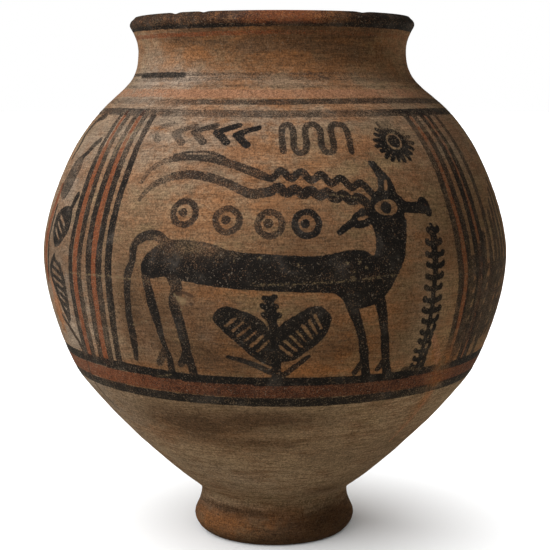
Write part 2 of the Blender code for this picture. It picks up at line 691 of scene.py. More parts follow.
@dataclass(frozen=True)
class RingBands:
    """The rings painted round the jar on the wheel.

    Args:
        lip_level: Height of the dark line on the lip's edge.
        line_levels: Heights of the thin lines at the foot of the neck.
        shoulder_levels: Heights of the orange, black and grey rings on the shoulder.
        base_levels: Heights of the black, red and black rings under the panel.
    """

    lip_level: float = 371.0
    line_levels: tuple[float, float, float] = (338, 334.6, 330)
    shoulder_levels: tuple[float, float, float] = (325.2, 319.8, 312.4)
    base_levels: tuple[float, float, float] = (141.9, 135.2, 126.7)

    def marks(self) -> list[Mark]:
        """The bands from the lip down to the lower body."""
        return self.lip_marks() + self.neck_marks() + self.shoulder_marks() + self.base_marks()

    def lip_marks(self) -> list[Mark]:
        """The dark paint over the lip and the reddish line under it."""
        over = self.wander(self.lip_level + 5.4, 0.3)
        edge = self.wander(self.lip_level, 0.4)
        under = self.wander(self.lip_level - 5.8, 0.4)
        bare = (
            (-180, 0.3), (-95, 0.1), (-62, 0.18), (-44, 0.22), (-32, 0.24), (-22, 0.28), (-12, 0.36),
            (-6, 0.55), (-1, 0.8), (12, 0.8), (18, 0.5), (28, 0.36), (36, 0.08), (70, 0), (110, 0.2),
        )
        baked = ((-180, 1), (-36, 1), (-24, 0.4), (-6, 0), (14, 0), (26, 0.5), (44, 1))
        rubbed = ((-180, 0), (-16, 0.1), (4, 0.45), (24, 0.3), (40, 0))
        faint = ((-180, 0.2), (-60, 0), (-10, 0.1), (14, 0.35), (30, 0.45), (90, 0.3))
        return [
            Band(over, width=11.0, wear=0.4, fade=baked, coat=Coat.RED),
            Band(over, width=12.0, wear=0.2, fade=bare),
            Band(edge, width=3.4, wear=0.14, fade=rubbed, fine=True),
            Band(under, width=2.2, wear=0.55, fade=faint, coat=Coat.RED),
        ]

    def neck_marks(self) -> list[Mark]:
        """The thin lines at the foot of the neck."""
        first, second, third = self.line_levels
        fade = (
            (-180, 0.3), (-62, 0.1), (-44, 0.1), (-37, 0.3), (-8, 0.4), (20, 0.35), (60, 0.6),
            (120, 0.4),
        )
        dark = self.wander(first, 0.4)
        return [
            Band(dark, width=1.9, wear=0.35, fade=fade, fine=True),
            Band(self.wander(second, 0.4), width=2.2, wear=0.8),
            Band(self.wander(third, 0.4), width=1.8, wear=0.82),
            Stroke(((-64, first - 0.4), (-56, first - 0.6), (-36, first - 0.3)), (2, 4.2, 3.2)),
        ]

    def shoulder_marks(self) -> list[Mark]:
        """The orange ring and the two dark rings above the panels."""
        orange, upper, lower = self.shoulder_levels
        orange_fade = ((-180, 0.3), (-60, 0.25), (-30, 0), (20, 0), (48, 0.3), (80, 0.4))
        upper_fade = ((-180, 0.2), (-70, 0.25), (-46, 0.3), (-32, 0.1), (0, 0), (60, 0), (90, 0.2))
        lower_fade = ((-180, 0.2), (-75, -0.1), (-44, -0.3), (-36, -0.1), (-26, 0))
        lower_fade += ((28, 0), (42, -0.3), (62, -0.3), (90, 0))
        return [
            Band(self.wander(orange, 0.5), width=7.6, wear=0.3, coat=Coat.WASH, fade=orange_fade),
            Band(self.wander(upper, 0.5), width=4.6, wear=0.5, fade=upper_fade),
            Band(self.wander(lower, 0.6), width=5.6, wear=0.6, fade=lower_fade),
        ]

    def base_marks(self) -> list[Mark]:
        """The black, red and black rings under the panels."""
        upper, middle, lower = self.base_levels
        top = ((-180, 0), (-75, 3.6), (-40, 3), (-20, 0), (20, -1), (60, 0), (120, 0.6))
        core = ((-180, 0), (-70, 2.2), (-30, 1), (0, -0.6), (40, 0), (110, 0.8))
        low = ((-180, 0), (-70, 2.6), (-30, 0.6), (10, -0.6), (50, 0.8), (110, 1))
        cores, tops, lows = (
            tuple((turn, level + rise) for turn, rise in line)
            for line, level in ((core, middle), (top, upper), (low, lower))
        )
        fade = ((-180, 0.1), (-65, 0.1), (-30, 0), (20, 0.05), (60, 0.05), (120, 0.15))
        speckled = ((-180, 0.1), (-80, 0.4), (-52, 0.3), (-32, 0.1), (-12, 0), (30, 0), (60, 0.1))
        return [
            Band(cores, width=10.0, wear=0.2, coat=Coat.RED, fade=fade),
            Band(cores, width=10.0, wear=0.6, fade=speckled),
            Band(tops, width=6.2, wear=0.14, fade=fade),
            Band(lows, width=6.4, wear=0.24, fade=fade),
        ]

    @staticmethod
    def wander(level: float, size: float) -> Spots:
        """A level ring that rises and falls a little round the jar."""
        turns = range(-180, 180, 30)
        return tuple((float(turn), level + size * math.sin(turn * 0.05 + level)) for turn in turns)


@dataclass(frozen=True)
class StripeGroup:
    """Upright stripes between two panels: black lines with red in some of the gaps.

    Args:
        starts: Azimuth of each black stripe at the top.
        red_gaps: Numbers of the gaps between them that are filled with red.
        bends: Heights with the shift of the stripes there, in degrees.
        spread: How much wider the group is at the top than lower down.
        top: Height of the upper end.
        bottom: Height of the lower end.
        black_width: Width of the black stripes.
        red_width: Width of the red stripes.
        red_wear: Wear of the red stripes.
        wears: Wear of each black stripe.
    """

    starts: tuple[float, ...] = (-39.8, -43, -46.8, -50.3, -54.2)
    red_gaps: tuple[int, ...] = (1, 3)
    bends: Spots = ((312, 0.6), (290, 0.3), (262, 0.1), (235, 0.1), (175, -0.1), (150, -1.8))
    spread: float = 1.1
    top: float = 313.0
    bottom: float = 145.0
    black_width: float = 5.1
    red_width: float = 5.2
    red_wear: float = 0.2
    wears: tuple[float, ...] = (0.22, 0.3, 0.3, 0.35, 0.3)
    seed: int = 5

    def marks(self) -> list[Mark]:
        """The stripes, the red ones under the black ones."""
        brush = Brush(self.seed)
        reds = [
            self.stripe((self.starts[index] + self.starts[index + 1]) * 0.5, self.red_width, 0.5, brush)
            for index in self.red_gaps
        ]
        blacks = [self.stripe(start, self.black_width, 0.22, brush) for start in self.starts]
        reds = [replace(mark, coat=Coat.RED, wear=self.red_wear) for mark in reds]
        return reds + [replace(mark, wear=wear) for mark, wear in zip(blacks, self.wears)]

    def stripe(self, start: float, width: float, thinning: float, brush: Brush) -> Stroke:
        """One stripe from the shoulder, where it is thinner, down to the rings.

        Args:
            start: Its azimuth at the top.
            width: Its width lower down.
            thinning: The share of its width that is missing at the top.
            brush: The hand that draws it.

        Returns:
            The stripe, in black.
        """
        heights, shifts = np.array(self.bends[::-1]).T
        middle = sum(self.starts) / len(self.starts)
        spots = []
        widths = []
        for height in np.linspace(self.top, self.bottom, 10):
            shift = float(np.interp(height, heights, shifts)) + brush.off(0.16)
            fan = 1.0 + (self.spread - 1.0) * float(smooth_step(240.0, 312.0, height))
            spots.append((middle + (start - middle) * fan + shift, float(height)))
            thinned = 1.0 - thinning * float(smooth_step(262.0, 308.0, height))
            widths.append(brush.about(width * thinned, 0.1))
        return Stroke(tuple(spots), tuple(widths))


@dataclass(frozen=True)
class ChevronRow:
    """A row of chevrons pointing back along the row, less worn toward its end."""

    tips: Spots = ((-36.1, 301), (-28.4, 299.5), (-22.3, 300), (-15.9, 300), (-10.5, 298.5))
    arm_length: float = 6.1
    rise: float = 4.6
    fall: float = 5.9
    fall_length: float = 3.2
    width: float = 3.9
    wears: tuple[float, ...] = (0.56, 0.52, 0.42, 0.2, 0.18)

    def marks(self) -> list[Mark]:
        """Two arms for each chevron."""
        found = []
        for (azimuth, height), wear in zip(self.tips, self.wears):
            arms = ((self.arm_length, self.rise, 0.85), (self.fall_length, -self.fall, 1.15))
            for reach, rise, swell in arms:
                end = (azimuth + reach, height + rise)
                middle = ((azimuth * 2.0 + end[0]) / 3.0, (height * 2.0 + end[1]) / 3.0 + 0.4)
                spots = ((azimuth, height), middle, end)
                widths = (self.width, self.width * swell)
                found.append(Stroke(spots, widths, wear=wear, fine=True))
        return found


@dataclass(frozen=True)
class Meander:
    """A line that climbs and falls in square waves.

    Args:
        rises: Azimuth of each climbing stretch.
        falls: Azimuth of each falling stretch.
        low: Height of the lower bends.
        high: Height of the upper bends.
        width: Width of the line.
        wear: How worn it is.
        bend: How far before a bend the line begins to turn, up the wall.
        corner: The same across, in degrees.
    """

    rises: tuple[float, ...] = (1.9, 8.2, 15.3)
    falls: tuple[float, ...] = (4.8, 12.1, 19.7)
    low: float = 288.0
    high: float = 305.0
    width: float = 3.6
    wear: float = 0.42
    bend: float = 2.8
    corner: float = 0.9

    def marks(self) -> list[Mark]:
        """One line through all the bends."""
        bend, corner = self.bend, self.corner
        spots = [(self.rises[0] + 0.2, self.low + 0.6)]
        for turn, (left, right) in enumerate(zip(self.rises, self.falls)):
            spots += [(left, self.high - bend), (left + corner, self.high)]
            spots += [(right - corner, self.high), (right, self.high - bend)]
            if turn < len(self.rises) - 1:
                following = self.rises[turn + 1]
                spots += [(right + 0.1, self.low + bend), (right + corner, self.low)]
                spots += [(following - corner, self.low), (following - 0.1, self.low + bend)]
        spots.append((self.falls[-1], self.low))
        return [Stroke(tuple(spots), (self.width,), wear=self.wear, fine=True)]


@dataclass(frozen=True)
class Rosette:
    """A round flower: a disc, a bare ring, a thick ring and short rays."""

    centre: Spot = (33.3, 294)
    disc_radius: float = 4.5
    ring_radius: float = 8.5
    ring_width: float = 3.8
    ray_length: float = 14.6
    ray_width: float = 2.4
    rays: int = 20
    wear: float = 0.14
    worn_share: float = 0.5

    def marks(self) -> list[Mark]:
        """The flower, more worn toward its upper side."""
        found = [
            disc(self.centre, self.disc_radius, wear=self.wear, fine=True),
            Ring((self.centre,), self.ring_radius, self.ring_width, wear=self.wear, fine=True),
        ]
        azimuth, height = self.centre
        pace = degrees_per_mm(height)
        brush = Brush(21)
        for ray in range(self.rays):
            angle = math.tau * (ray + 0.3) / self.rays
            wear = self.wear + self.worn_share * max(0.0, math.cos(angle - 0.5))
            east, up = math.sin(angle), math.cos(angle)
            reaches = (self.ring_radius, brush.about(self.ray_length, 0.07))
            spots = tuple((azimuth + out * east * pace, height + out * up * 0.86) for out in reaches)
            found.append(Stroke(spots, (self.ray_width,), wear=wear, fine=True))
        return found


@dataclass(frozen=True)
class DottedCircle:
    """A thick ring with a dot in it."""

    centre: Spot
    radius: float = 9.4
    thickness: float = 3.5
    dot_radius: float = 2.7
    wear: float = 0.4

    def marks(self) -> list[Mark]:
        """The ring and its dot, which sits a little to the left."""
        looks = {"wear": self.wear, "fine": True}
        middle = self.radius - self.thickness * 0.5
        dot = (self.centre[0] - 0.35, self.centre[1] + 0.2)
        return [
            Ring((self.centre,), radius=middle, width=self.thickness, **looks),
            disc(dot, self.dot_radius, **looks),
        ]


@dataclass(frozen=True)
class Horn:
    """A long horn swept back over the body, wavy next to the head.

    Args:
        arch: Places along the smooth part, from the tip.
        widths: Widths along the smooth part.
        line: Places along the middle of the wavy part.
        pitch: Azimuth from one wave to the next.
        swing: How far the waves rise and fall.
        wavy_width: Width of the wavy part.
        wears: Wear of the tip, of the arch and of the wavy part.
    """

    arch: Spots
    widths: tuple[float, ...]
    line: Spots
    pitch: float
    swing: float
    wavy_width: float
    wears: tuple[float, float, float] = (0.6, 0.45, 0.3)

    def marks(self) -> list[Mark]:
        """The tip, the arch and the waves."""
        third = max(2, len(self.arch) // 3)
        wide = spread(self.widths, len(self.arch))
        parts = (slice(0, third + 1), slice(third, None))
        found = [
            Stroke(self.arch[part], tuple(wide[part]), wear=wear)
            for part, wear in zip(parts, self.wears)
        ]
        waves = [self.arch[-1], *self.waves()]
        found.append(Stroke(tuple(waves), (self.wavy_width,), wear=self.wears[2]))
        return found

    def waves(self) -> list[Spot]:
        """Places above and below the middle line in turn."""
        azimuths, heights = np.array(self.line).T
        found = []
        for step in range(int((azimuths[-1] - azimuths[0]) / (self.pitch * 0.5)) + 1):
            azimuth = float(azimuths[0]) + step * self.pitch * 0.5
            swing = self.swing if step % 2 else -self.swing
            found.append((azimuth, float(np.interp(azimuth, azimuths, heights)) + swing))
        return found


@dataclass(frozen=True)
class HornedAnimal:
    """A standing long-horned animal seen from its right side.

    Every place is given for an animal whose head is to the right.
    """

    trunk: Spots = (
        (-27.4, 227), (-24.2, 232), (-20.5, 233), (-14.5, 231.5), (-9.3, 227), (-1.1, 225), (9.9, 224),
        (16.1, 227), (19.9, 226), (22, 222), (25.5, 217), (27.8, 213), (27, 209), (25.9, 203),
        (23.6, 195), (20.3, 191), (16.2, 191), (13.5, 199.5), (3.9, 202), (-9.2, 204), (-18, 207),
        (-24, 210), (-29.2, 208.5), (-30.3, 214), (-29.5, 221),
    )
    head: Spots = (
        (21.4, 219), (22.3, 226), (22.7, 234), (22, 243), (21.7, 250), (22.6, 258), (23.6, 262),
        (26.4, 263.6), (29.2, 261.6), (31, 257.6), (31.8, 253), (30.6, 249), (30.8, 244), (30.5, 238),
        (29.9, 229), (29.1, 220), (27.6, 213), (24, 212),
    )
    eye: Spot = (26.1, 252.9)
    eye_size: tuple[float, float] = (8.7, 6.7)
    pupil_radius: float = 3.6
    muzzle: Spots = ((29.7, 253.4), (32.6, 252.4), (36.4, 251.6))
    muzzle_widths: tuple[float, ...] = (8.2, 6.8, 7.4)
    tail: Spots = (
        (-24.2, 231), (-26.3, 234.6), (-28.3, 235.6), (-30.6, 233.6), (-32.5, 229), (-32.8, 218),
        (-33.9, 210), (-34.3, 202), (-34.5, 190), (-34.7, 178), (-34.6, 165), (-35.2, 152),
    )
    tail_widths: tuple[float, ...] = (5.8, 6.2, 6, 5.6, 5.2, 4.4, 5.8, 5, 4.2, 5, 5.2, 2.8)
    legs: tuple[Stroke, ...] = (
        Stroke(
            (
                (-29.2, 209), (-28.4, 199), (-27.8, 190), (-27, 179), (-26.6, 171), (-26, 163),
                (-25.4, 156), (-25.5, 146),
            ),
            (5.4, 5.9, 6.4, 4.9, 3.7, 2.7, 4, 4.4),
            wear=0.28,
        ),
        Stroke(
            (
                (-22.4, 211), (-21.6, 202), (-22.4, 193), (-21.6, 182), (-21, 172), (-20.6, 162),
                (-19.7, 146),
            ),
            (9, 7.4, 7.2, 6.6, 6.2, 5.6, 5.2),
            wear=0.3,
        ),
        Stroke(
            (
                (16.2, 197), (17.5, 187), (18.9, 178), (19.9, 170), (20.7, 161), (21.4, 153),
                (22.5, 142),
            ),
            (8.6, 6.3, 5.3, 4.8, 5.7, 5, 5.7),
            wear=0.2,
        ),
        Stroke(
            (
                (23.4, 194), (24.3, 185), (24.9, 177), (25.7, 169), (26.2, 161), (27.2, 152),
                (28.3, 141),
            ),
            (7.2, 6.2, 5.2, 5.4, 5.2, 5, 6.8),
            wear=0.2,
        ),
        Stroke(((-26.2, 161), (-28.4, 151)), (4.2,), wear=0.5),
        Stroke(((-20.9, 160), (-22.6, 151.6)), (4,), wear=0.35),
        Stroke(((20.7, 154), (19.2, 146.4)), (3.2,)),
        Stroke(((26.6, 155), (25.2, 147.6)), (3.4,)),
    )
    horns: tuple[Horn, ...] = (
        Horn(
            arch=(
                (-33.9, 268), (-32.3, 275.4), (-29.8, 280.2), (-27.1, 282.8), (-22.9, 284.2),
                (-18.5, 284.2), (-13.9, 282.4), (-9.5, 279.6), (-5.8, 276.4), (-2.8, 273.4),
            ),
            widths=(2.2, 3, 3.4, 3.6, 4.4, 5, 5.4),
            line=((-0.9, 274.2), (5, 274.2), (12, 271.6), (18, 268.4), (24.6, 263)),
            pitch=4.75,
            swing=2.3,
            wavy_width=4.2,
        ),
        Horn(
            arch=(
                (-33.3, 257), (-31.5, 263.6), (-28.6, 268.8), (-25.4, 272.2), (-22.1, 273.6),
                (-17.9, 273.2), (-13.5, 270.6), (-10.4, 267.8), (-7.6, 264.4), (-5.5, 262.4),
                (-2.8, 263),
            ),
            widths=(2, 3.8, 5, 5.4, 5.2, 5.6, 6),
            line=((-1.1, 265.4), (5, 263.8), (10, 262.6), (15, 260.4), (23, 256.4)),
            pitch=3.75,
            swing=1.5,
            wavy_width=5.6,
        ),
    )
    second_line: Stroke = Stroke(
        ((-26.3, 285.6), (-23, 287.4), (-18.6, 288), (-15, 286.6), (-12.4, 284.4)),
        (1.1,),
        wear=0.42,
        fine=True,
    )
    wear: float = 0.16

    def marks(self) -> list[Mark]:
        """The whole animal, its bare places last."""
        horns = [mark for horn in self.horns for mark in horn.marks()]
        body = [Patch(self.trunk, wear=self.wear), Stroke(self.tail, self.tail_widths), *self.legs]
        return horns + [self.second_line] + body + self.head_marks()

    def head_marks(self) -> list[Mark]:
        """The head with its eye, muzzle and ears."""
        wide, high = self.eye_size
        rim = []
        for step in range(12):
            east, up = math.cos(math.tau * step / 12), math.sin(math.tau * step / 12)
            across = wide * east * degrees_per_mm(self.eye[1])
            rim.append((self.eye[0] + across, self.eye[1] + high * up * (0.82 + 0.12 * east)))
        ear = (
            (23.6, 281.6), (25, 282), (26.3, 278), (27.8, 273.4), (28.8, 268.6), (29.2, 261),
            (24.6, 260), (25.1, 267), (25.4, 271.4), (24.6, 276),
        )
        flap = (
            (17, 245.5), (18.3, 250), (20.2, 252.8), (22.4, 252), (22.8, 246), (21.2, 242.6), (19, 241),
            (17.2, 242.4),
        )
        fine = {"fine": True, "wear": 0.12}
        return [
            Patch(self.head, **fine),
            Stroke(self.muzzle, self.muzzle_widths, **fine),
            Patch(ear, **fine),
            Stroke(((36.7, 255), (37.2, 252), (37.8, 248.8)), (7.4, 7.2, 5.8), **fine),
            Patch(flap, **fine),
            Stroke(((14.2, 238.4), (15.9, 241.8), (17.8, 244.6)), (3, 3.8, 4.4), **fine),
            Patch(tuple(rim), spare=True, **fine),
            disc(self.eye, self.pupil_radius, **fine),
            Stroke(((27.3, 269.4), (26.9, 264.4)), (3.2,), spare=True, **fine),
            Stroke(((18.9, 246.2), (21, 247.6)), (2.6,), spare=True, **fine),
            disc((37.3, 253.2), 2.2, coat=Coat.RED, wear=0.3),
            disc((37.3, 253.4), 1.2, spare=True, **fine),
        ]


@dataclass(frozen=True)
class SlitLeaf:
    """A broad leaf with light slits across it.

    Args:
        outline: Places round the leaf.
        slit_starts: First and last lower end of the slits.
        slit_ends: First and last upper end of the slits.
        slits: Number of slits.
        slit_width: Width of a slit.
        wear: How worn the leaf is.
    """

    outline: Spots
    slit_starts: tuple[Spot, Spot]
    slit_ends: tuple[Spot, Spot]
    slits: int
    slit_width: float = 2.7
    wear: float = 0.22

    def marks(self) -> list[Mark]:
        """The leaf and its slits."""
        found = [Patch(self.outline, wear=self.wear)]
        brush = Brush(31)
        for step in range(self.slits):
            share = step / max(1, self.slits - 1)
            start = self.between(self.slit_starts, share)
            end = self.between(self.slit_ends, share)
            width = brush.about(self.slit_width, 0.2)
            spots = ((start[0] + brush.off(0.1), start[1]), end)
            found.append(Stroke(spots, (width, width * 0.8), spare=True, fine=True))
        return found

    @staticmethod
    def between(ends: tuple[Spot, Spot], share: float) -> Spot:
        """A place between two others."""
        return tuple(a + (b - a) * share for a, b in zip(*ends))


@dataclass(frozen=True)
class LeafPlant:
    """A low plant of two broad slit leaves and a flower between them."""

    right_leaf: SlitLeaf = SlitLeaf(
        outline=(
            (0.4, 157), (0.2, 166), (-0.1, 174), (1.6, 181), (4.7, 187), (7.5, 191.6), (9.5, 192.2),
            (11.2, 189), (12.2, 184.5), (11.9, 178.5), (10.8, 172), (8.7, 166), (6.2, 161),
            (3.7, 156.5),
        ),
        slit_starts=((0.9, 166.5), (8.7, 186.5)),
        slit_ends=((3.8, 160), (10.3, 177.5)),
        slits=7,
    )
    left_leaf: SlitLeaf = SlitLeaf(
        outline=(
            (-13.5, 183.5), (-12.5, 189.6), (-10.3, 192), (-7.9, 190), (-5, 187), (-2.6, 182),
            (-1.1, 175), (-0.2, 166), (-0.6, 153), (-4.8, 159), (-7.2, 165), (-9.6, 171), (-11.7, 177),
        ),
        slit_starts=((-10.7, 179.5), (-4, 163)),
        slit_ends=((-8.4, 185), (-1.1, 170.5)),
        slits=6,
    )
    stem: Spots = ((-1.1, 197), (-0.8, 188), (-0.3, 175), (0.2, 160), (0.4, 144))

    def marks(self) -> list[Mark]:
        """The leaves, the stem, the flower and the strokes under the leaves."""
        lobes = ((-2.2, 198), (-0.1, 198.8), (-2.7, 193), (0.3, 192.6), (-2.5, 187.2), (0.9, 187))
        found = self.right_leaf.marks() + self.left_leaf.marks()
        found.append(Stroke(self.stem, (4.4, 6.2, 4.2, 5, 5.6), wear=0.14))
        for lobe in lobes:
            found.append(Stroke(((-0.9, lobe[1] - 2.6), lobe), (3.4, 3.2), wear=0.2, fine=True))
        found.append(Stroke(((2.2, 147), (5, 153), (7.8, 159.4)), (3.4, 2.9, 1.8)))
        found.append(Stroke(((-10.8, 158.6), (-6.6, 155.6), (-1.2, 148.6)), (1.8, 3, 3.6)))
        return found


@dataclass(frozen=True)
class SpikyPlant:
    """A tall stem with pairs of short curved leaves.

    Args:
        stem: Places along the stem from the top.
        pairs: Number of pairs of leaves.
        leaf_length: Length of the upper leaves.
        leaf_width: Width of the upper leaves.
        wall_radius: Radius of the wall beside it.
    """

    stem: Spots = (
        (37.8, 241), (38.1, 236), (37.9, 224), (37.9, 211), (37.6, 197), (37.7, 186), (37.6, 172),
        (37.2, 158), (37, 144),
    )
    pairs: int = 15
    leaf_length: float = 6.6
    leaf_width: float = 3.1
    wall_radius: float = 165.0

    def marks(self) -> list[Mark]:
        """The stem, its leaves and the low side shoot."""
        brush = Brush(41)
        found = [
            Stroke(self.stem, (1.6, 4.6, 4.8, 3.8, 3.2, 3, 2.8, 2.6, 2.6), wear=0.2),
            Stroke(((33, 145), (38.4, 144)), (4, 3), wear=0.5),
        ]
        azimuths, heights = np.array(self.stem[::-1]).T
        pace = math.degrees(1.0 / self.wall_radius)
        for pair in range(self.pairs):
            height = 236.0 - pair * 7.4 + max(pair - 8, 0) ** 2 * 0.24 + brush.off(0.4)
            azimuth = float(np.interp(height, heights, azimuths))
            low, top = (float(smooth_step(*ends, height)) for ends in ((190, 160), (222, 240)))
            length = self.leaf_length * (1.0 - 0.15 * low) * (1.0 - 0.4 * top)
            width = brush.about(self.leaf_width * (1.0 - 0.2 * low), 0.12)
            for side in (-1, 1):
                reach = side * brush.about(length, 0.1)
                rise = 1.7 + (3.2 * low if side > 0 else 0.0)
                bends = ((0.6, 0.1), (0.95, 0.5), (1, 1))
                leaf = [(azimuth + reach * out * pace, height + up * rise) for out, up in bends]
                wear = 0.2 + 0.12 * brush.off(1.0)
                spots = ((azimuth, height - 0.4), *leaf)
                found.append(Stroke(spots, (width,), wear=wear, fine=True))
        return found


@dataclass(frozen=True)
class LeafBranch:
    """A climbing branch with worn, slit and hatched leaves between red and dark lines."""

    worn_leaf: Spots = (
        (-63.4, 282.5), (-67.6, 278), (-69.3, 269), (-70.7, 260), (-68.3, 254.5), (-64.9, 253),
        (-62.8, 259), (-61.7, 268), (-61.2, 277),
    )
    slit_leaf: SlitLeaf = SlitLeaf(
        outline=(
            (-58, 247.6), (-61, 248.6), (-65, 245), (-67.2, 238), (-66.6, 229), (-63.8, 221),
            (-61.6, 222), (-59, 227), (-56.8, 235), (-57, 243.6),
        ),
        slit_starts=((-63.2, 241), (-65.2, 232.5)),
        slit_ends=((-59.8, 236), (-61.8, 226)),
        slits=3,
        slit_width=2.8,
        wear=0.26,
    )
    hatched_left: Spots = ((-64, 214), (-67.3, 202), (-64.8, 192), (-62.7, 182), (-60.2, 170))
    hatched_right: Spots = ((-60.2, 209), (-58.6, 198), (-58.3, 186), (-59.4, 172))

    def marks(self) -> list[Mark]:
        """The branch from its hooked top down to its stem."""
        hook = ((-65.2, 309), (-69.2, 308), (-72.2, 303), (-73.2, 297), (-71.6, 289), (-73.6, 280))
        stalk = ((-57.3, 293.5), (-59.1, 290), (-61, 285.5), (-63.4, 281))
        slit_stalk = ((-56.9, 256.5), (-57.8, 250), (-58.8, 245))
        red = ((-71, 260), (-71.6, 247), (-72.4, 236), (-72.6, 224), (-72.4, 212), (-71.6, 196))
        dark = ((-69, 248), (-69.3, 236), (-69.8, 224), (-69.2, 212), (-70.2, 198))
        stem = ((-64.2, 172), (-61.4, 166), (-59, 159), (-57.1, 151), (-56.8, 145))
        found = [
            Stroke(hook, (5, 5.6, 5.4, 4.6, 4.2, 3), wear=0.4),
            Stroke(stalk, (4.4, 5.2, 4.6, 4.8), wear=0.3),
            Patch(self.worn_leaf, wear=0.52),
            Stroke(slit_stalk, (5, 4.4, 4.4), wear=0.2),
            *self.slit_leaf.marks(),
            Stroke(red, (6, 9, 10, 9, 6), wear=0.1, coat=Coat.RED),
            Stroke(dark, (2.4, 3, 3, 3, 2), wear=0.3),
            Stroke(self.hatched_left, (3.6, 4.4, 4.4, 4, 3.4), wear=0.3),
            Stroke(self.hatched_right, (3.4, 4.6, 4.6, 3.6), wear=0.3),
            Stroke(stem, (2.6, 3.4, 3.6, 4, 4.4), wear=0.3),
            Stroke(((-67.6, 196), (-67, 183), (-66, 168)), (5, 8, 5), wear=0.2, coat=Coat.WASH),
        ]
        return found + self.hatching()

    def hatching(self) -> list[Mark]:
        """Short slanted strokes across the hatched leaf."""
        found = []
        for height in np.arange(176, 211, 5.6):
            spots = []
            for edge, level in ((self.hatched_left, height + 3.0), (self.hatched_right, height - 2.0)):
                azimuths, levels = np.array(edge[::-1]).T
                spots.append((float(np.interp(level, levels, azimuths)), float(level)))
            found.append(Stroke(tuple(spots), (2.3,), fine=True))
        return found


@dataclass(frozen=True)
class SmudgedGrass:
    """Tall worn strokes beside the stripes, most of their paint rubbed away.

    Args:
        start: Azimuth of the first stroke.
        pitch: Azimuth between strokes.
        strokes: Number of strokes.
        low: Height of the lower ends.
        high: Height of the upper ends.
    """

    start: float = 51.0
    pitch: float = 3.2
    strokes: int = 8
    low: float = 150.0
    high: float = 216.0

    def marks(self) -> list[Mark]:
        """Upright strokes and slanted leaves between them."""
        brush = Brush(51)
        found = []
        for step in range(self.strokes):
            azimuth = self.start + step * self.pitch
            spots = tuple(
                (azimuth + brush.off(0.5), float(height))
                for height in np.linspace(self.high + step * 7.0, self.low + step * 3.0, 6)
            )
            found.append(Stroke(spots, (4.4, 6.4, 5.6), wear=0.5))
            for height in np.arange(self.low + 8.0, self.high - 6.0, 9.0):
                top = (azimuth + 2.0 + brush.off(0.3), float(height) + 6.0)
                spots = ((azimuth, float(height) + brush.off(1.0)), top)
                found.append(Stroke(spots, (3.6, 2.4), wear=0.45))
        return found


@dataclass(frozen=True)
class Damage:
    """Cracks, scratches and pits on the side that shows."""

    def marks(self) -> list[Mark]:
        """All damage, the lines first."""
        crack = ((-64.1, 170), (-60.5, 163), (-58.3, 157), (-57.5, 145), (-59.7, 120), (-57.6, 105))
        streak = ((39.4, 168), (42.3, 156), (44.9, 143), (46.1, 133), (47.4, 116), (46.5, 84))
        chip = ((-22.4, 199), (-20.4, 197), (-19.2, 195.4), (-20, 192), (-21.2, 193), (-21.8, 196))
        scratches = (
            (((-52, 178), (-49.6, 184)), 0.8), (((-30, 141), (-26, 143.5)), 0.8),
            (((-34, 176), (-30, 180)), 0.7),
            (((-46.8, 284), (-46.5, 293), (-43.9, 298), (-41.4, 304)), 1.8),
            (((-45, 290), (-42.6, 295), (-40.5, 298)), 1.6),
            (((31.7, 299), (41.6, 300), (54.2, 301), (70, 302)), 1.1),
            (((-56, 205), (-38.9, 207), (-28.8, 206)), 0.9),
            (((-5, 206.2), (6, 207), (15, 208), (26.9, 210.4)), 0.9), (((-30, 262), (-24, 266)), 0.6),
            (((12, 262), (20, 259)), 0.5),
        )
        pits = (
            (-20.8, 189, 0.9), (-39.4, 63, 0.9), (-14.5, 40, 0.7), (31.7, 309, 0.7), (54.2, 290, 1.9),
            (16.6, 210, 1.7), (18.4, 220, 1.2), (15.6, 219, 1), (17.2, 214, 0.9), (20, 216, 0.8),
            (-3.2, 223, 1), (-8.8, 221, 0.8), (5, 219, 0.7), (-42, 226, 0.7), (-46.6, 252, 1.1),
            (-45.8, 240, 1), (-49.6, 262, 0.9), (-50.8, 232, 0.9), (-47.4, 268, 0.8), (-44.6, 216, 0.9),
            (40, 100, 0.9), (8, 92, 0.7),
        )
        cracked = {"coat": Coat.CRACK, "fine": True}
        found = [
            Stroke(crack, (1.7,), wear=0.4, **cracked),
            Stroke(((-21.6, 199), (-19.8, 200), (-18, 198)), (1.8,), **cracked),
            Stroke(((17.4, 336.4), (20.8, 335)), (1.7,), **cracked),
            Stroke(((14, 339.6), (14.6, 338)), (1.7,), **cracked),
            Patch(chip, coat=Coat.SCRATCH, fine=True),
            Stroke(streak, (2.4, 5, 6, 5, 3, 2), coat=Coat.WASH, wear=0.4),
            disc((-18.3, 193), 1.2, **cracked),
            disc((16.6, 210), 0.8, **cracked),
            disc((54.2, 290), 0.8, **cracked),
        ]
        torn = {"coat": Coat.SCRATCH, "fine": True}
        found += [Stroke(spots, (width,), wear=0.4, **torn) for spots, width in scratches]
        return found + [disc((azimuth, height), radius, **torn) for azimuth, height, radius in pits]


def marks_of(motifs: tuple, panel: Panel | None = None) -> list[Mark]:
    """Draw some motifs.

    Args:
        motifs: The motifs, in the order they were painted.
        panel: Where they are painted, or None for the side that shows.

    Returns:
        Their marks. Away from the side that shows none of them is fine.
    """
    found = [mark for motif in motifs for mark in motif.marks()]
    return [replace(mark.moved(panel), fine=False) for mark in found] if panel else found


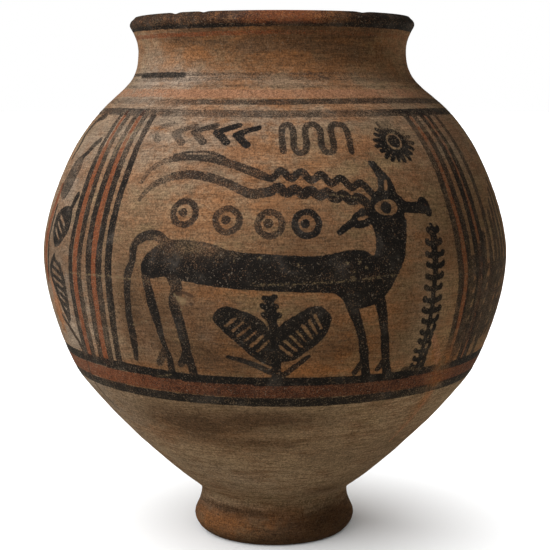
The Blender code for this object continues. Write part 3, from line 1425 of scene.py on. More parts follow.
def front_marks() -> list[Mark]:
    """Everything painted on the side that shows."""
    right_stripes = StripeGroup(
        starts=(46.8, 50.2, 53.8, 57, 61.6),
        red_gaps=(0, 2),
        bends=((312, -4), (297, -2.8), (280, -1.9), (240, -1.2), (200, 0), (150, -0.1)),
        spread=1.05,
        wears=(0.45, 0.4, 0.3, 0.34, 0.45),
        red_wear=0.6,
        seed=6,
    )
    circles = (
        DottedCircle((-20.7, 250), wear=0.42), DottedCircle((-10.5, 246), wear=0.46),
        DottedCircle((-1.1, 244), wear=0.46), DottedCircle((7, 244), wear=0.24, dot_radius=2.6),
    )
    motifs = (
        StripeGroup(), right_stripes, ChevronRow(), Meander(), Rosette(), *circles,
        HornedAnimal(), LeafPlant(), SpikyPlant(), LeafBranch(),
    )
    return marks_of(motifs)


def back_marks() -> list[Mark]:
    """A plainer panel like the front's on the far side of the jar."""
    motifs = (StripeGroup(seed=7), HornedAnimal(), LeafPlant(), SpikyPlant(), Rosette())
    far = marks_of(motifs, Panel(middle=180.0, side=-1))
    return far + marks_of((StripeGroup(seed=8),), Panel(middle=168.0, side=1))


def side_marks() -> list[Mark]:
    """The narrow panels on the left and the right side."""
    left = marks_of((LeafBranch(),), Panel(middle=-164.0, side=-1, lift=-4.0))
    right = marks_of((LeafBranch(),), Panel(middle=28.0, side=-1, lift=2.0))
    return left + right + SmudgedGrass().marks()


def all_marks() -> list[Mark]:
    """Every mark on the jar, in the order they were made."""
    return RingBands().marks() + side_marks() + back_marks() + front_marks() + Damage().marks()


class Tint(Enum):
    """Slow changes of the clay's colour, one field each. The umber field also carries painted shade under
    the lip.
    """

    OCHRE = "ochre"
    UMBER_AND_SHADE = "umber_and_shade"
    CHALK = "chalk"
    SCUFF = "scuff"
    SLIP = "slip"


@dataclass(frozen=True)
class Stain:
    """A soft patch of one tint.

    Args:
        azimuth: Azimuth of its middle.
        height: Height of its middle.
        across: Reach across, in mm. A reach of 0 makes a ring.
        up: Reach up and down, in mm.
        strength: How strong it is in its middle.
    """

    azimuth: float
    height: float
    across: float
    up: float
    strength: float

    def field(self, wall: Wall) -> np.ndarray:
        """The stain's strength at the points of a wall."""
        level = (wall.height - self.height) / self.up
        across = np.zeros_like(level)
        if self.across > 0.0:
            radius = np.maximum(np.hypot(wall.point[:, 0], wall.point[:, 1]), 20.0)
            across = np.radians(wall.across(self.azimuth)) * radius / self.across
        strength = self.strength * np.exp(-(across**2) - level**2)
        return np.where(wall.outside, strength, 0.0)


STAINS: dict[Tint, tuple] = {
    Tint.OCHRE: (
        (-8, 324, 50, 5, 0.3), (0, 147.5, 0, 3.5, 0.35), (0, 131.3, 0, 3, 0.45),
        (-6, 362, 110, 5, 0.45), (0, 376, 0, 5.5, 0.9), (7, 376, 30, 6.5, 0.8), (0, 360, 60, 12, 0.55),
        (41.5, 158, 5, 14, 0.8), (45, 136, 5, 12, 0.8), (46.6, 112, 5, 18, 0.6), (-67, 176, 6, 12, 0.9),
        (12, 150, 34, 5, 0.5), (10, 350, 80, 18, 0.4), (-4, 200, 60, 5, 0.5), (6, 216, 60, 8, 0.35),
        (-66.8, 176, 8, 14, 0.7), (18, 352, 40, 12, 0.25), (-36, 354, 30, 10, 0.2),
        (30, 240, 26, 30, 0.3), (0, 10, 0, 12, 0.5), (-40, 10, 40, 12, 0.5), (16, 165, 24, 12, 0.5),
        (2, 300, 60, 50, 0.4), (-14, 248, 50, 24, 0.25), (4, 364, 60, 6, 0.45), (17, 160, 16, 10, 0.55),
        (6, 22, 34, 9, 0.35), (20, 190, 50, 30, 0.15), (-26, 100, 56, 12, 0.25),
        (24, 180, 20, 12, 0.35), (-10, 164, 18, 9, 0.45), (47, 146, 8, 12, 0.6),
        (-32.6, 302, 14, 2.4, 0.8),
    ),
    # Umber darkens the clay. Its bands just under the lip, at heights 362 to 369 near the front, are
    # partly painted shade where the lip's overhang shades the neck. Its rings at heights 3 and 10 make
    # the foot darker towards the floor all round.
    Tint.UMBER_AND_SHADE: (
        (-3, 362, 56, 9, 0.95), (6, 348, 74, 12, 0.65), (-32, 363, 34, 6, 0.8), (4, 366, 60, 4, 0.6),
        (44, 358, 34, 16, 0.5), (-28, 110, 58, 15, 0.65), (-24, 104, 30, 7, 0.5), (-9, 90, 24, 3, 0.35),
        (-4, 112, 44, 10, 0.35), (24, 369, 64, 4, 0.9), (-38, 25.5, 32, 1.8, 1), (-24, 23, 22, 2, 0.5),
        (52, 18, 20, 10, 0.5), (32, 43, 16, 4, 0.6), (0, 3, 0, 4, 0.7), (-62, 214, 50, 34, 0.5),
        (-26, 196, 30, 20, 0.25), (4, 222, 60, 12, 0.3), (-10, 93, 46, 4, 0.55), (8, 113, 50, 9, 0.4),
        (20, 84, 70, 14, 0.25), (0, 136, 0, 9, 0.3), (-18, 182, 50, 22, 0.55), (-18, 158, 46, 16, 0.75),
        (-10, 154, 16, 8, 0.5), (60, 162, 34, 20, 0.45), (8, 190, 40, 16, 0.35), (16, 164, 40, 16, 0.7),
        (50, 236, 60, 40, 0.5), (30, 190, 16, 30, 0.4), (-30, 226, 14, 30, 0.35),
        (-35, 188, 12, 44, 0.4), (26.1, 252.9, 7, 12, 0.5), (6, 238, 60, 16, 0.35), (0, 10, 0, 15, 0.5),
        (20, 8, 40, 12, 0.4), (52, 60, 60, 50, 0.25), (150, 110, 90, 30, 0.4), (-44, 226, 26, 34, 0.3),
    ),
    Tint.CHALK: (
        (-22, 365.5, 80, 2.4, 0.5), (-38, 336, 50, 6, 0.45), (10, 333, 60, 5, 0.3),
        (-52, 346, 40, 20, 0.4), (-46, 324, 56, 12, 0.35), (36, 190, 14, 40, 0.3),
        (-30, 168, 10, 12, 0.3), (-24, 56, 50, 14, 0.3), (-20.2, 195, 8, 6.5, 0.45),
        (-15.4, 173, 4, 4, 0.9), (-14, 280, 60, 34, 0.3), (-48, 296, 52, 24, 0.4),
        (-66, 262, 26, 34, 0.55), (-60, 190, 60, 60, 0.3), (56, 292, 40, 22, 0.4),
        (-20, 300, 60, 16, 0.2), (10, 312, 90, 12, 0.35), (-66, 108, 50, 40, 0.7),
        (-60, 176, 44, 40, 0.7), (0, 23, 0, 5, 0.2), (-120, 230, 90, 60, 0.4),
    ),
    Tint.SCUFF: (
        (-46, 172, 30, 36, 0.4), (-18, 229, 30, 8, 0.85), (46.5, 140, 12, 18, 1.1),
        (-20.2, 196, 8, 6, 0.8), (-46, 298, 40, 18, 0.55), (34, 303, 16, 8, 0.4),
        (52, 292, 30, 18, 0.3), (-30, 206, 22, 4, 0.35), (10, 210, 70, 3, 0.2),
        (160, 250, 60, 50, 0.35),
    ),
}


@dataclass(frozen=True)
class RowZone:
    """A stretch of the outer wall whose mesh rows stand equally far apart."""

    high: float
    low: float
    spacing: float


@dataclass(frozen=True)
class PaintedJar:
    """The thrown jar as one closed mesh that carries its paint.

    Args:
        columns: Number of columns of the coarse mesh round the jar.
        zones: Spacing of its rows on the outer wall, from the top down.
        medium: Longest mesh edge kept next to any painted edge.
        small: Longest mesh edge kept next to fine painted edges.
        medium_reach: How far from a painted edge, in mm, medium edges are kept.
        small_reach: The same for small edges, from a fine painted edge.
        front_reach: The same on the side that shows, from any painted edge.
        front: Azimuth up to which the wall counts as that side.
        inside_start: How far down inside the lip the bare clay begins.
    """

    columns: int = 196
    zones: tuple[RowZone, ...] = (
        RowZone(380, 365, 1.1),
        RowZone(365, 341, 3),
        RowZone(341, 308, 1.7),
        RowZone(308, 148, 4.8),
        RowZone(148, 122, 2),
        RowZone(122, 40, 6),
        RowZone(40, 0, 2.6),
    )
    medium: float = 3.5
    small: float = 1.75
    medium_reach: float = 3.3
    small_reach: float = 1.4
    front_reach: float = 0.85
    front: float = 82.0
    inside_start: float = 12.0

    def build(self) -> bpy.types.Object:
        """Make the mesh, and write the paint, the tints and the map on it."""
        work = self.coarse_mesh()
        self.refine(work, self.medium, lambda coats: coats.nearest < self.medium_reach)
        self.refine(work, self.small, self.wants_small)
        azimuth, along = self.read_places(work)
        mesh = bpy.data.meshes.new("painted_jar")
        work.to_mesh(mesh)
        work.free()
        mesh.vertices.foreach_set("co", THROWN.points(azimuth, along).ravel())
        mesh.update()
        mesh.shade_smooth()
        self.write_fields(mesh, azimuth, along)
        self.write_map(mesh, azimuth, along)
        jar = put("painted_jar", mesh)
        LOG.info("painted_jar: %d triangles", sum(len(face.vertices) - 2 for face in mesh.polygons))
        return jar

    def rows(self) -> np.ndarray:
        """Distances along the section of the coarse mesh's rows, its poles left out."""
        inner = [np.arange(SECTION.along[0] + 5.0, -42.0, 14.0), np.arange(-42, -13, 5)]
        inner.append(np.arange(-12, -0.5, 1.5))
        outer = []
        for zone in self.zones:
            start, end = (float(SECTION.outer_along(level)) for level in (zone.high, zone.low))
            count = max(1, round((end - start) / zone.spacing))
            outer.append(np.linspace(start, end, count, endpoint=False))
        under = np.linspace(GROUND, SECTION.along[-1], 12)[:-1]
        return np.concatenate((*inner, *outer, under))

    def coarse_mesh(self) -> bmesh.types.BMesh:
        """A grid of rows and columns on the plain turned wall, closed at both poles."""
        work = bmesh.new()
        layer = work.verts.layers.float.new("along")
        turns = np.arange(self.columns) * 360.0 / self.columns - 180.0
        grid = []
        for along in self.rows():
            ring = []
            for place in SECTION.places(turns, np.full(self.columns, along)):
                vertex = work.verts.new(place)
                vertex[layer] = along
                ring.append(vertex)
            grid.append(ring)
        for upper, lower in zip(grid, grid[1:]):
            for column in range(self.columns):
                beside = (column + 1) % self.columns
                work.faces.new((upper[column], lower[column], lower[beside], upper[beside]))
        self.close_pole(work, layer, grid[0], float(SECTION.along[0]), True)
        self.close_pole(work, layer, grid[-1], float(SECTION.along[-1]), False)
        return work

    def close_pole(
        self,
        work: bmesh.types.BMesh,
        layer: bmesh.types.BMLayerItem,
        ring: list[bmesh.types.BMVert],
        along: float,
        first: bool,
    ) -> None:
        """Close the mesh from a ring to the point on the jar's axis.

        Args:
            work: The mesh.
            layer: Where the vertices keep their distance along the section.
            ring: The ring's vertices.
            along: Distance of the pole along the section.
            first: Whether the pole is the first one.
        """
        pole = work.verts.new(SECTION.places(np.zeros(1), np.array((along,)))[0])
        pole[layer] = along
        for column, vertex in enumerate(ring):
            beside = ring[(column + 1) % self.columns]
            work.faces.new((pole, vertex, beside) if first else (pole, beside, vertex))

    @staticmethod
    def read_places(work: bmesh.types.BMesh) -> tuple[np.ndarray, np.ndarray]:
        """Azimuth and distance along the section of every vertex."""
        layer = work.verts.layers.float["along"]
        places = np.array([vertex.co for vertex in work.verts])
        along = np.array([vertex[layer] for vertex in work.verts])
        return np.degrees(np.arctan2(places[:, 0], -places[:, 1])), along

    def wants_small(self, coats: Coats) -> np.ndarray:
        """Where the mesh needs its smallest faces."""
        ahead = np.abs(coats.wall.azimuth) < self.front
        return (coats.nearest_fine < self.small_reach) | (ahead & (coats.nearest < self.front_reach))

    def refine(self, work: bmesh.types.BMesh, size: float, chooser: Callable) -> None:
        """Halve the long edges of the faces that some paint needs finer.

        Args:
            work: The mesh.
            size: Length over which an edge is long, in mm.
            chooser: Picks the points that need it from the coats on the wall.
        """
        azimuth, along = self.read_places(work)
        wanted = chooser(Coats(Wall(azimuth, along)).lay_all(MARKS))
        work.verts.index_update()
        edges = set()
        for face in work.faces:
            if any(wanted[vertex.index] for vertex in face.verts):
                edges.update(edge for edge in face.edges if edge.calc_length() > size)
        bmesh.ops.subdivide_edges(work, edges=list(edges), cuts=1, use_grid_fill=True)
        azimuth, along = self.read_places(work)
        for vertex, place in zip(work.verts, SECTION.places(azimuth, along)):
            vertex.co = place

    @staticmethod
    def write_fields(mesh: bpy.types.Mesh, azimuth: np.ndarray, along: np.ndarray) -> None:
        """Write the coats and the tints as one field each.

        Args:
            mesh: The jar's mesh.
            azimuth: Azimuth of each vertex.
            along: Distance of each vertex along the section from the lip's crest.
        """
        wall = Wall(azimuth, along)
        coats = Coats(wall).lay_all(MARKS)
        fields = {"along": along * MM}
        for coat in Coat:
            fields[f"{coat.value}_edge"] = coats.edge[coat]
            fields[f"{coat.value}_wear"] = coats.wear[coat]
        for tint in Tint:
            strengths = [Stain(*row).field(wall) for row in STAINS.get(tint, ())]
            total = np.sum(strengths, axis=0) if strengths else np.zeros(len(azimuth))
            fields[tint.value] = np.clip(total, 0.0, 1.0)
        slip = smooth_step(133.0, 127.0, wall.height) * smooth_step(17.0, 31.0, wall.height)
        fields[Tint.SLIP.value] = np.where(wall.outside, slip, 0.0)
        for name, values in fields.items():
            layer = mesh.attributes.get(name) or mesh.attributes.new(name, "FLOAT", "POINT")
            layer.data.foreach_set("value", values.astype(np.float32))

    def write_map(self, mesh: bpy.types.Mesh, azimuth: np.ndarray, along: np.ndarray) -> None:
        """Lay the wall out flat, the outer wall above the inner one and the underside.

        Args:
            mesh: The jar's mesh.
            azimuth: Azimuth of each vertex.
            along: Distance of each vertex along the section from the lip's crest.
        """
        count = len(mesh.polygons)
        starts = np.empty(count, dtype=np.int64)
        totals = np.empty(count, dtype=np.int64)
        corners = np.empty(len(mesh.loops), dtype=np.int64)
        mesh.polygons.foreach_get("loop_start", starts)
        mesh.polygons.foreach_get("loop_total", totals)
        mesh.loops.foreach_get("vertex_index", corners)
        owner = np.repeat(np.arange(count), totals)
        pole = np.isclose(along, SECTION.along[0]) | np.isclose(along, SECTION.along[-1])
        angle = np.radians(azimuth)
        weight = np.where(pole, 0.0, 1.0)[corners]
        east = np.bincount(owner, np.sin(angle)[corners] * weight)
        north = np.bincount(owner, np.cos(angle)[corners] * weight)
        middle = np.degrees(np.arctan2(east, north))[owner]
        off = turned(azimuth[corners], middle)
        across = (middle + np.where(pole[corners], 0.0, off) + 180.0) / 360.0
        mean_along = (np.bincount(owner, along[corners]) / totals)[owner]
        up = self.map_height(along[corners], mean_along)
        layer = mesh.uv_layers.new(name="OFBake")
        layer.data.foreach_set("uv", np.column_stack((across, up)).ravel())
        bare = (mean_along < -self.inside_start) | (mean_along > GROUND)
        mesh.polygons.foreach_set("material_index", bare[starts].astype(np.int32))

    @staticmethod
    def map_height(along: np.ndarray, mean_along: np.ndarray) -> np.ndarray:
        """Find the height on the flat map of the corners of faces.

        Args:
            along: Distance of each corner along the section.
            mean_along: Mean distance of the face that it belongs to.

        Returns:
            The height of each corner, from 0 to 1.
        """
        first, last = float(SECTION.along[0]), float(SECTION.along[-1])
        outer = OUTER_MAP[0] - along / GROUND * OUTER_MAP[1]
        inner = INNER_MAP[0] + along / abs(first) * INNER_MAP[1]
        under = UNDER_MAP[0] - (along - GROUND) / (last - GROUND) * UNDER_MAP[1]
        return np.where(mean_along < 0.0, inner, np.where(mean_along > GROUND, under, outer))


MARKS: list[Mark] = all_marks()


Socket = bpy.types.NodeSocket
Group = bpy.types.NodeTree
Fed = Socket | float | tuple | None


class Tree:
    """Short ways to add and join the nodes of one tree."""

    def __init__(self, tree: Group) -> None:
        """Work on a tree."""
        self.tree = tree

    def feed(self, socket: Socket, value: Fed) -> None:
        """Join a socket to another, or set it to a constant."""
        if isinstance(value, Socket):
            self.tree.links.new(value, socket)
        elif value is not None:
            socket.default_value = value

    def node(self, kind: str, feeds: dict[int | str, Fed], **settings: object) -> bpy.types.Node:
        """Add a shader node.

        Args:
            kind: Blender's name for it, without the word ShaderNode.
            feeds: What goes into its inputs, by their names or numbers.
            settings: Its other properties.

        Returns:
            The new node.
        """
        made = self.tree.nodes.new(f"ShaderNode{kind}")
        for name, value in settings.items():
            setattr(made, name, value)
        for key, value in feeds.items():
            self.feed(made.inputs[key], value)
        return made

    def math(self, operation: str, *values: Fed, clamp: bool = False) -> Socket:
        """A calculation with one to three values."""
        return self.node("Math", dict(enumerate(values)), operation=operation, use_clamp=clamp).outputs[0]

    def times(self, first: Fed, second: Fed, clamp: bool = False) -> Socket:
        """One value times another."""
        return self.math("MULTIPLY", first, second, clamp=clamp)

    def lift(self, value: Fed, factor: Fed, base: Fed) -> Socket:
        """A base raised by a value times a factor."""
        return self.math("MULTIPLY_ADD", value, factor, base)

    def weighed(self, first: Fed, share: float, second: Fed, other: float) -> Socket:
        """The sum of two values, each times its share."""
        return self.lift(first, share, self.times(second, other))

    def around(self, noise: Fed, swing: float, base: Fed) -> Socket:
        """A base moved up and down by noise that runs from 0 to 1."""
        return self.lift(self.math("SUBTRACT", noise, 0.5), swing, base)

    def noise(self, place: Socket, scale: float, detail: float, roughness: float) -> Socket:
        """Smooth noise from 0 to 1."""
        feeds = {"Vector": place, "Scale": scale, "Detail": detail, "Roughness": roughness}
        return self.node("TexNoise", feeds).outputs["Fac"]

    def step(self, value: Fed, low: Fed, high: Fed, start: float = 0.0, end: float = 1.0) -> Socket:
        """A smooth change from a start to an end as a value goes from low to high."""
        feeds = {"Value": value, "From Min": low, "From Max": high, "To Min": start, "To Max": end}
        return self.node("MapRange", feeds, interpolation_type="SMOOTHSTEP").outputs["Result"]

    def mix(self, share: Fed, first: Fed, second: Fed, blend: str = "MIX") -> Socket:
        """A mix of two colours."""
        first, second = ((*part, 1.0) if isinstance(part, tuple) else part for part in (first, second))
        feeds = {0: share, 6: first, 7: second}
        return self.node("Mix", feeds, data_type="RGBA", blend_type=blend).outputs[2]

    def coated(self, colour: Fed, shade: Fed, cover: Fed, strength: Fed) -> Socket:
        """A colour with a shade laid over it where something covers it."""
        return self.mix(self.times(cover, strength), colour, shade)

    def shaded(self, colour: Fed, value: Fed) -> Socket:
        """A colour made as much darker or brighter as a value says."""
        grey = self.node("CombineColor", dict.fromkeys(range(3), value)).outputs[0]
        return self.mix(1.0, colour, grey, "MULTIPLY")

    def attribute(self, name: str) -> Socket:
        """One of the fields on the mesh."""
        return self.node("Attribute", {}, attribute_type="GEOMETRY", attribute_name=name).outputs["Fac"]

    def group(self, tree: Group, **feeds: Fed) -> bpy.types.bpy_prop_collection:
        """Add a node group and feed its inputs by name."""
        named = {name.capitalize(): value for name, value in feeds.items()}
        return self.node("Group", named, node_tree=tree).outputs


class Effect:
    """A node group that several finishes share. Its first input is the place on the jar."""

    def __init__(self, name: str, takes: tuple[str, ...], gives: tuple[str, ...]) -> None:
        """Make the group with its sockets.

        Args:
            name: Name of the group.
            takes: Names of the values that go in after the place.
            gives: Names of the values that come out.
        """
        self.tree = bpy.data.node_groups.new(name, "ShaderNodeTree")
        face = self.tree.interface
        face.new_socket("Place", in_out="INPUT", socket_type="NodeSocketVector")
        for labels, direction in ((takes, "INPUT"), (gives, "OUTPUT")):
            for label in labels:
                face.new_socket(label, in_out=direction, socket_type="NodeSocketFloat")
        self.nodes = Tree(self.tree)
        self.inputs = self.tree.nodes.new("NodeGroupInput").outputs
        self.outputs = self.tree.nodes.new("NodeGroupOutput").inputs
        self.place = self.inputs["Place"]

    def give(self, **values: Socket) -> Group:
        """Send values out by name, and hand over the group."""
        for name, value in values.items():
            self.nodes.feed(self.outputs[name], value)
        return self.tree


def clay_grain_effect() -> Group:
    """Fine grit, pores and slow mottling of fired clay."""
    effect = Effect("clay grain", (), ("Grit", "Mottle", "Hue", "Height"))
    nodes, place = effect.nodes, effect.place
    fine = nodes.step(nodes.noise(place, 980.0, 2.0, 0.6), 0.32, 0.68)
    medium = nodes.step(nodes.noise(place, 430.0, 3.0, 0.65), 0.32, 0.68)
    broad = nodes.noise(place, 46.0, 5.0, 0.62)
    broadest = nodes.noise(place, 13.0, 2.0, 0.5)
    grit = nodes.weighed(fine, 0.6, medium, 0.4)
    squeezed = nodes.node("VectorMath", {0: place, 1: (1.0, 1.0, 1.8)}, operation="MULTIPLY").outputs[0]
    pores = nodes.step(nodes.noise(place, 820.0, 1.0, 0.4), 0.33, 0.27)
    return effect.give(
        Grit=grit,
        Mottle=nodes.weighed(broad, 0.55, broadest, 0.45),
        Hue=nodes.noise(squeezed, 34.0, 8.0, 0.72),
        Height=nodes.math("SUBTRACT", grit, nodes.times(pores, 0.5)),
    )


def throwing_lines_effect() -> Group:
    """Fine level lines from the potter's wheel, and the broader sweeps of a wet hand."""
    effect = Effect("throwing lines", ("Along",), ("Lines", "Sweeps"))
    nodes = effect.nodes
    parts = nodes.node("SeparateXYZ", {0: effect.place}).outputs

    def stretched(pace: float, along_pace: float) -> Socket:
        """Places squeezed round the jar and stretched along the wall."""
        level = [nodes.times(parts[axis], pace) for axis in range(2)]
        feeds = enumerate((*level, nodes.times(effect.inputs["Along"], along_pace)))
        return nodes.node("CombineXYZ", dict(feeds)).outputs[0]

    lines = nodes.noise(stretched(90.0, 1000.0), 1.0, 4.0, 0.7)
    return effect.give(Lines=lines, Sweeps=nodes.noise(stretched(24.0, 150.0), 1.0, 6.0, 0.68))


def worn_paint_effect() -> Group:
    """How much of a coat of paint covers the clay, from 0 to 1.

    The edge input is the distance from the paint's edge in mm, negative in
    the paint, and the wear input runs from 0 for whole to 1 for gone.
    """
    effect = Effect("worn paint", ("Edge", "Wear"), ("Cover", "Film"))
    nodes, place, wear = effect.nodes, effect.place, effect.inputs["Wear"]
    edge = nodes.around(nodes.noise(place, 640.0, 2.0, 0.6), 1.1, effect.inputs["Edge"])
    edge = nodes.around(nodes.noise(place, 210.0, 1.0, 0.5), 1.1, edge)
    film = nodes.step(edge, 0.72, 0.02)
    specks = nodes.noise(place, 1250.0, 2.0, 0.6)
    held = nodes.weighed(specks, 0.7, nodes.noise(place, 150.0, 3.0, 0.6), 0.3)
    bound = nodes.lift(wear, 0.23, 0.356)
    bounds = (nodes.math(way, bound, 0.035) for way in ("SUBTRACT", "ADD"))
    kept = nodes.step(held, *bounds)
    thinned = nodes.step(wear, 0.25, 1.0, 1.0, 0.12)
    return effect.give(Cover=nodes.times(film, kept), Film=nodes.times(film, thinned))


def dust_effect() -> Group:
    """Pale specks and a thin bloom of dust, from 0 to 1."""
    effect = Effect("dust", (), ("Specks", "Bloom"))
    nodes, place = effect.nodes, effect.place
    specks = nodes.step(nodes.noise(place, 900.0, 2.0, 0.55), 0.62, 0.70)
    return effect.give(Specks=specks, Bloom=nodes.step(nodes.noise(place, 60.0, 4.0, 0.65), 0.45, 0.75))


class Effects:
    """The shared node groups, each made once."""

    def __init__(self) -> None:
        """Make the groups."""
        self.grain, self.lines = clay_grain_effect(), throwing_lines_effect()
        self.paint, self.dust = worn_paint_effect(), dust_effect()


class Finish:
    """A new material with its nodes and the inputs of its shader."""

    def __init__(self, name: str) -> None:
        """Make the material."""
        self.material = bpy.data.materials.new(name)
        self.material.use_nodes = True
        self.nodes = Tree(self.material.node_tree)
        self.shader = self.material.node_tree.nodes["Principled BSDF"].inputs

    def dress(self, colour: Fed, rough: Fed, gloss: float) -> None:
        """Feed the shader's colour and roughness, and set its gloss."""
        self.nodes.feed(self.shader["Base Color"], colour)
        self.nodes.feed(self.shader["Roughness"], rough)
        self.shader["Specular IOR Level"].default_value = gloss


class ClayFinish(Finish):
    """A new clay material with the shared effects placed in it."""

    def __init__(self, name: str, effects: Effects) -> None:
        """Make the material.

        Args:
            name: Its name.
            effects: The shared node groups.
        """
        super().__init__(name)
        self.paint = effects.paint
        self.place = self.nodes.node("TexCoord", {}).outputs["Object"]
        self.grain = self.nodes.group(effects.grain, place=self.place)
        along = self.nodes.attribute("along")
        self.lines = self.nodes.group(effects.lines, place=self.place, along=along)
        self.dust = self.nodes.group(effects.dust, place=self.place)

    def emboss(self, strength: float, height: Socket) -> None:
        """Feed the shader's normal from some relief in metres."""
        made = self.nodes.node("Bump", {"Strength": strength, "Distance": 1.0, "Height": height})
        self.nodes.feed(self.shader["Normal"], made.outputs["Normal"])


@dataclass(frozen=True)
class PaintedClay:
    """Matt tan clay under worn black, red and orange paint."""

    tan: Colour = (0.350, 0.210, 0.110)
    brown: Colour = (0.245, 0.140, 0.072)
    rust: Colour = (0.285, 0.125, 0.056)
    olive: Colour = (0.300, 0.202, 0.100)
    ochre: Colour = (0.370, 0.150, 0.048)
    # Umber brown for the stains and the slip's edge, and also painted shade under the lip.
    umber_and_shade: Colour = (0.100, 0.054, 0.027)
    chalk: Colour = (0.385, 0.300, 0.225)
    slip: Colour = (0.375, 0.268, 0.162)
    black: Colour = (0.0085, 0.0076, 0.0070)
    dull_black: Colour = (0.040, 0.037, 0.035)
    thin_black: Colour = (0.046, 0.040, 0.034)
    red: Colour = (0.235, 0.064, 0.022)
    orange: Colour = (0.420, 0.205, 0.110)
    scratch: Colour = (0.40, 0.29, 0.155)
    crack: Colour = (0.070, 0.040, 0.025)
    dust: Colour = (0.43, 0.34, 0.25)
    roughness: float = 0.86
    gloss: float = 0.16
    grain_depth: float = 0.00026
    line_depth: float = 0.00030

    def make(self, effects: Effects) -> bpy.types.Material:
        """Build the material.

        Args:
            effects: The shared node groups.

        Returns:
            The finished material.
        """
        on = ClayFinish("painted_clay", effects)
        nodes, grit = on.nodes, on.grain["Grit"]
        painted, cover = self.painted_colour(on, self.clay_colour(on))
        painted = nodes.shaded(painted, nodes.lift(grit, 1.05, 0.44))
        rough = nodes.lift(grit, 0.08, nodes.lift(cover, -0.10, self.roughness))
        on.dress(self.damaged_colour(on, painted, cover), rough, self.gloss)
        filled = nodes.lift(cover, -0.35, 1.0)
        relief = nodes.times(nodes.times(on.grain["Height"], self.grain_depth), filled)
        on.emboss(0.8, nodes.math("ADD", relief, nodes.times(on.lines["Lines"], self.line_depth)))
        return on.material

    def clay_colour(self, on: ClayFinish) -> Socket:
        """The bare clay with its mottling, stains and slip.

        Args:
            on: The material that it is for.

        Returns:
            The clay's colour.
        """
        nodes, hue, mottle = on.nodes, on.grain["Hue"], on.grain["Mottle"]
        lines, sweeps = on.lines["Lines"], on.lines["Sweeps"]
        colour = nodes.mix(nodes.step(mottle, 0.34, 0.62), self.brown, self.tan)
        colour = nodes.mix(nodes.step(hue, 0.47, 0.64, 0.0, 0.55), colour, self.rust)
        colour = nodes.mix(nodes.step(hue, 0.51, 0.37, 0.0, 0.75), colour, self.olive)
        ragged = nodes.around(mottle, 1.5, nodes.attribute("slip"))
        ragged = nodes.around(on.grain["Grit"], 0.45, ragged)
        worn = nodes.lift(mottle, 0.4, nodes.weighed(lines, 0.3, sweeps, 0.3))
        swept = nodes.times(nodes.step(ragged, 0.35, 0.60), nodes.step(worn, 0.41, 0.55, 0.18, 1.0))
        colour = nodes.coated(colour, self.slip, swept, 0.85)
        rim = nodes.times(nodes.step(ragged, 0.16, 0.30), nodes.step(ragged, 0.62, 0.42))
        colour = nodes.coated(colour, self.umber_and_shade, rim, 0.6)
        streaked = nodes.weighed(sweeps, 0.5, mottle, 0.5)
        # The umber stains include painted shade under the lip.
        stains = (
            ("chalk", self.chalk, nodes.step(hue, 0.60, 0.42, 0.5, 1.3)),
            ("ochre", self.ochre, nodes.step(hue, 0.40, 0.58, 0.4, 1.4)),
            ("umber_and_shade", self.umber_and_shade, nodes.step(streaked, 0.38, 0.60, 0.55, 1.35)),
        )
        for name, shade, patchy in stains:
            share = nodes.times(nodes.attribute(name), patchy, clamp=True)
            colour = nodes.coated(colour, shade, share, 0.92)
        swept = nodes.lift(nodes.step(sweeps, 0.3, 0.7), 0.30, 0.85)
        lined = nodes.lift(nodes.step(lines, 0.32, 0.68), 0.52, 0.74)
        return nodes.shaded(colour, nodes.times(swept, lined))

    def painted_colour(self, on: ClayFinish, clay: Socket) -> tuple[Socket, Socket]:
        """The clay with the three paints on it.

        Args:
            on: The material that it is for.
            clay: The bare clay's colour.

        Returns:
            The colour, and how much the black and the red cover.
        """
        nodes = on.nodes
        scuff = nodes.attribute("scuff")
        covers, wears = {}, {}
        for coat in (Coat.WASH, Coat.RED, Coat.BLACK):
            wear = nodes.math("ADD", nodes.attribute(f"{coat.value}_wear"), nodes.times(scuff, 0.5))
            edge = nodes.attribute(f"{coat.value}_edge")
            covers[coat] = nodes.group(on.paint, place=on.place, edge=edge, wear=wear)
            wears[coat] = wear
        red, black = covers[Coat.RED], covers[Coat.BLACK]
        colour = nodes.coated(clay, self.orange, covers[Coat.WASH]["Cover"], 0.85)
        colour = nodes.coated(colour, self.red, red["Film"], 0.4)
        colour = nodes.coated(colour, self.red, red["Cover"], 0.8)
        colour = nodes.coated(colour, self.thin_black, black["Film"], 0.55)
        soot = nodes.step(on.dust["Bloom"], 0.15, 0.95, 0.0, 0.6)
        firm = nodes.step(wears[Coat.BLACK], 0.15, 0.8, 0.98, 0.58)
        sooty = nodes.mix(soot, self.black, self.dull_black)
        colour = nodes.coated(colour, sooty, black["Cover"], firm)
        return colour, nodes.math("MAXIMUM", black["Cover"], red["Cover"])

    def damaged_colour(self, on: ClayFinish, colour: Socket, cover: Socket) -> Socket:
        """The painted clay with its scratches, cracks and dust.

        Args:
            on: The material that it is for.
            colour: The painted clay's colour.
            cover: How much paint covers it.

        Returns:
            The finished colour.
        """
        nodes = on.nodes
        torn = nodes.lift(on.grain["Grit"], 2.4, nodes.attribute("scratch_edge"))
        colour = nodes.coated(colour, self.scratch, nodes.step(torn, 1.5, 0.4), 0.42)
        cracked = nodes.step(nodes.attribute("crack_edge"), 0.5, -0.1)
        colour = nodes.coated(colour, self.crack, cracked, 0.75)
        colour = nodes.coated(colour, self.dust, on.dust["Specks"], nodes.lift(cover, 0.2, 0.22))
        return nodes.coated(colour, self.dust, on.dust["Bloom"], 0.05)


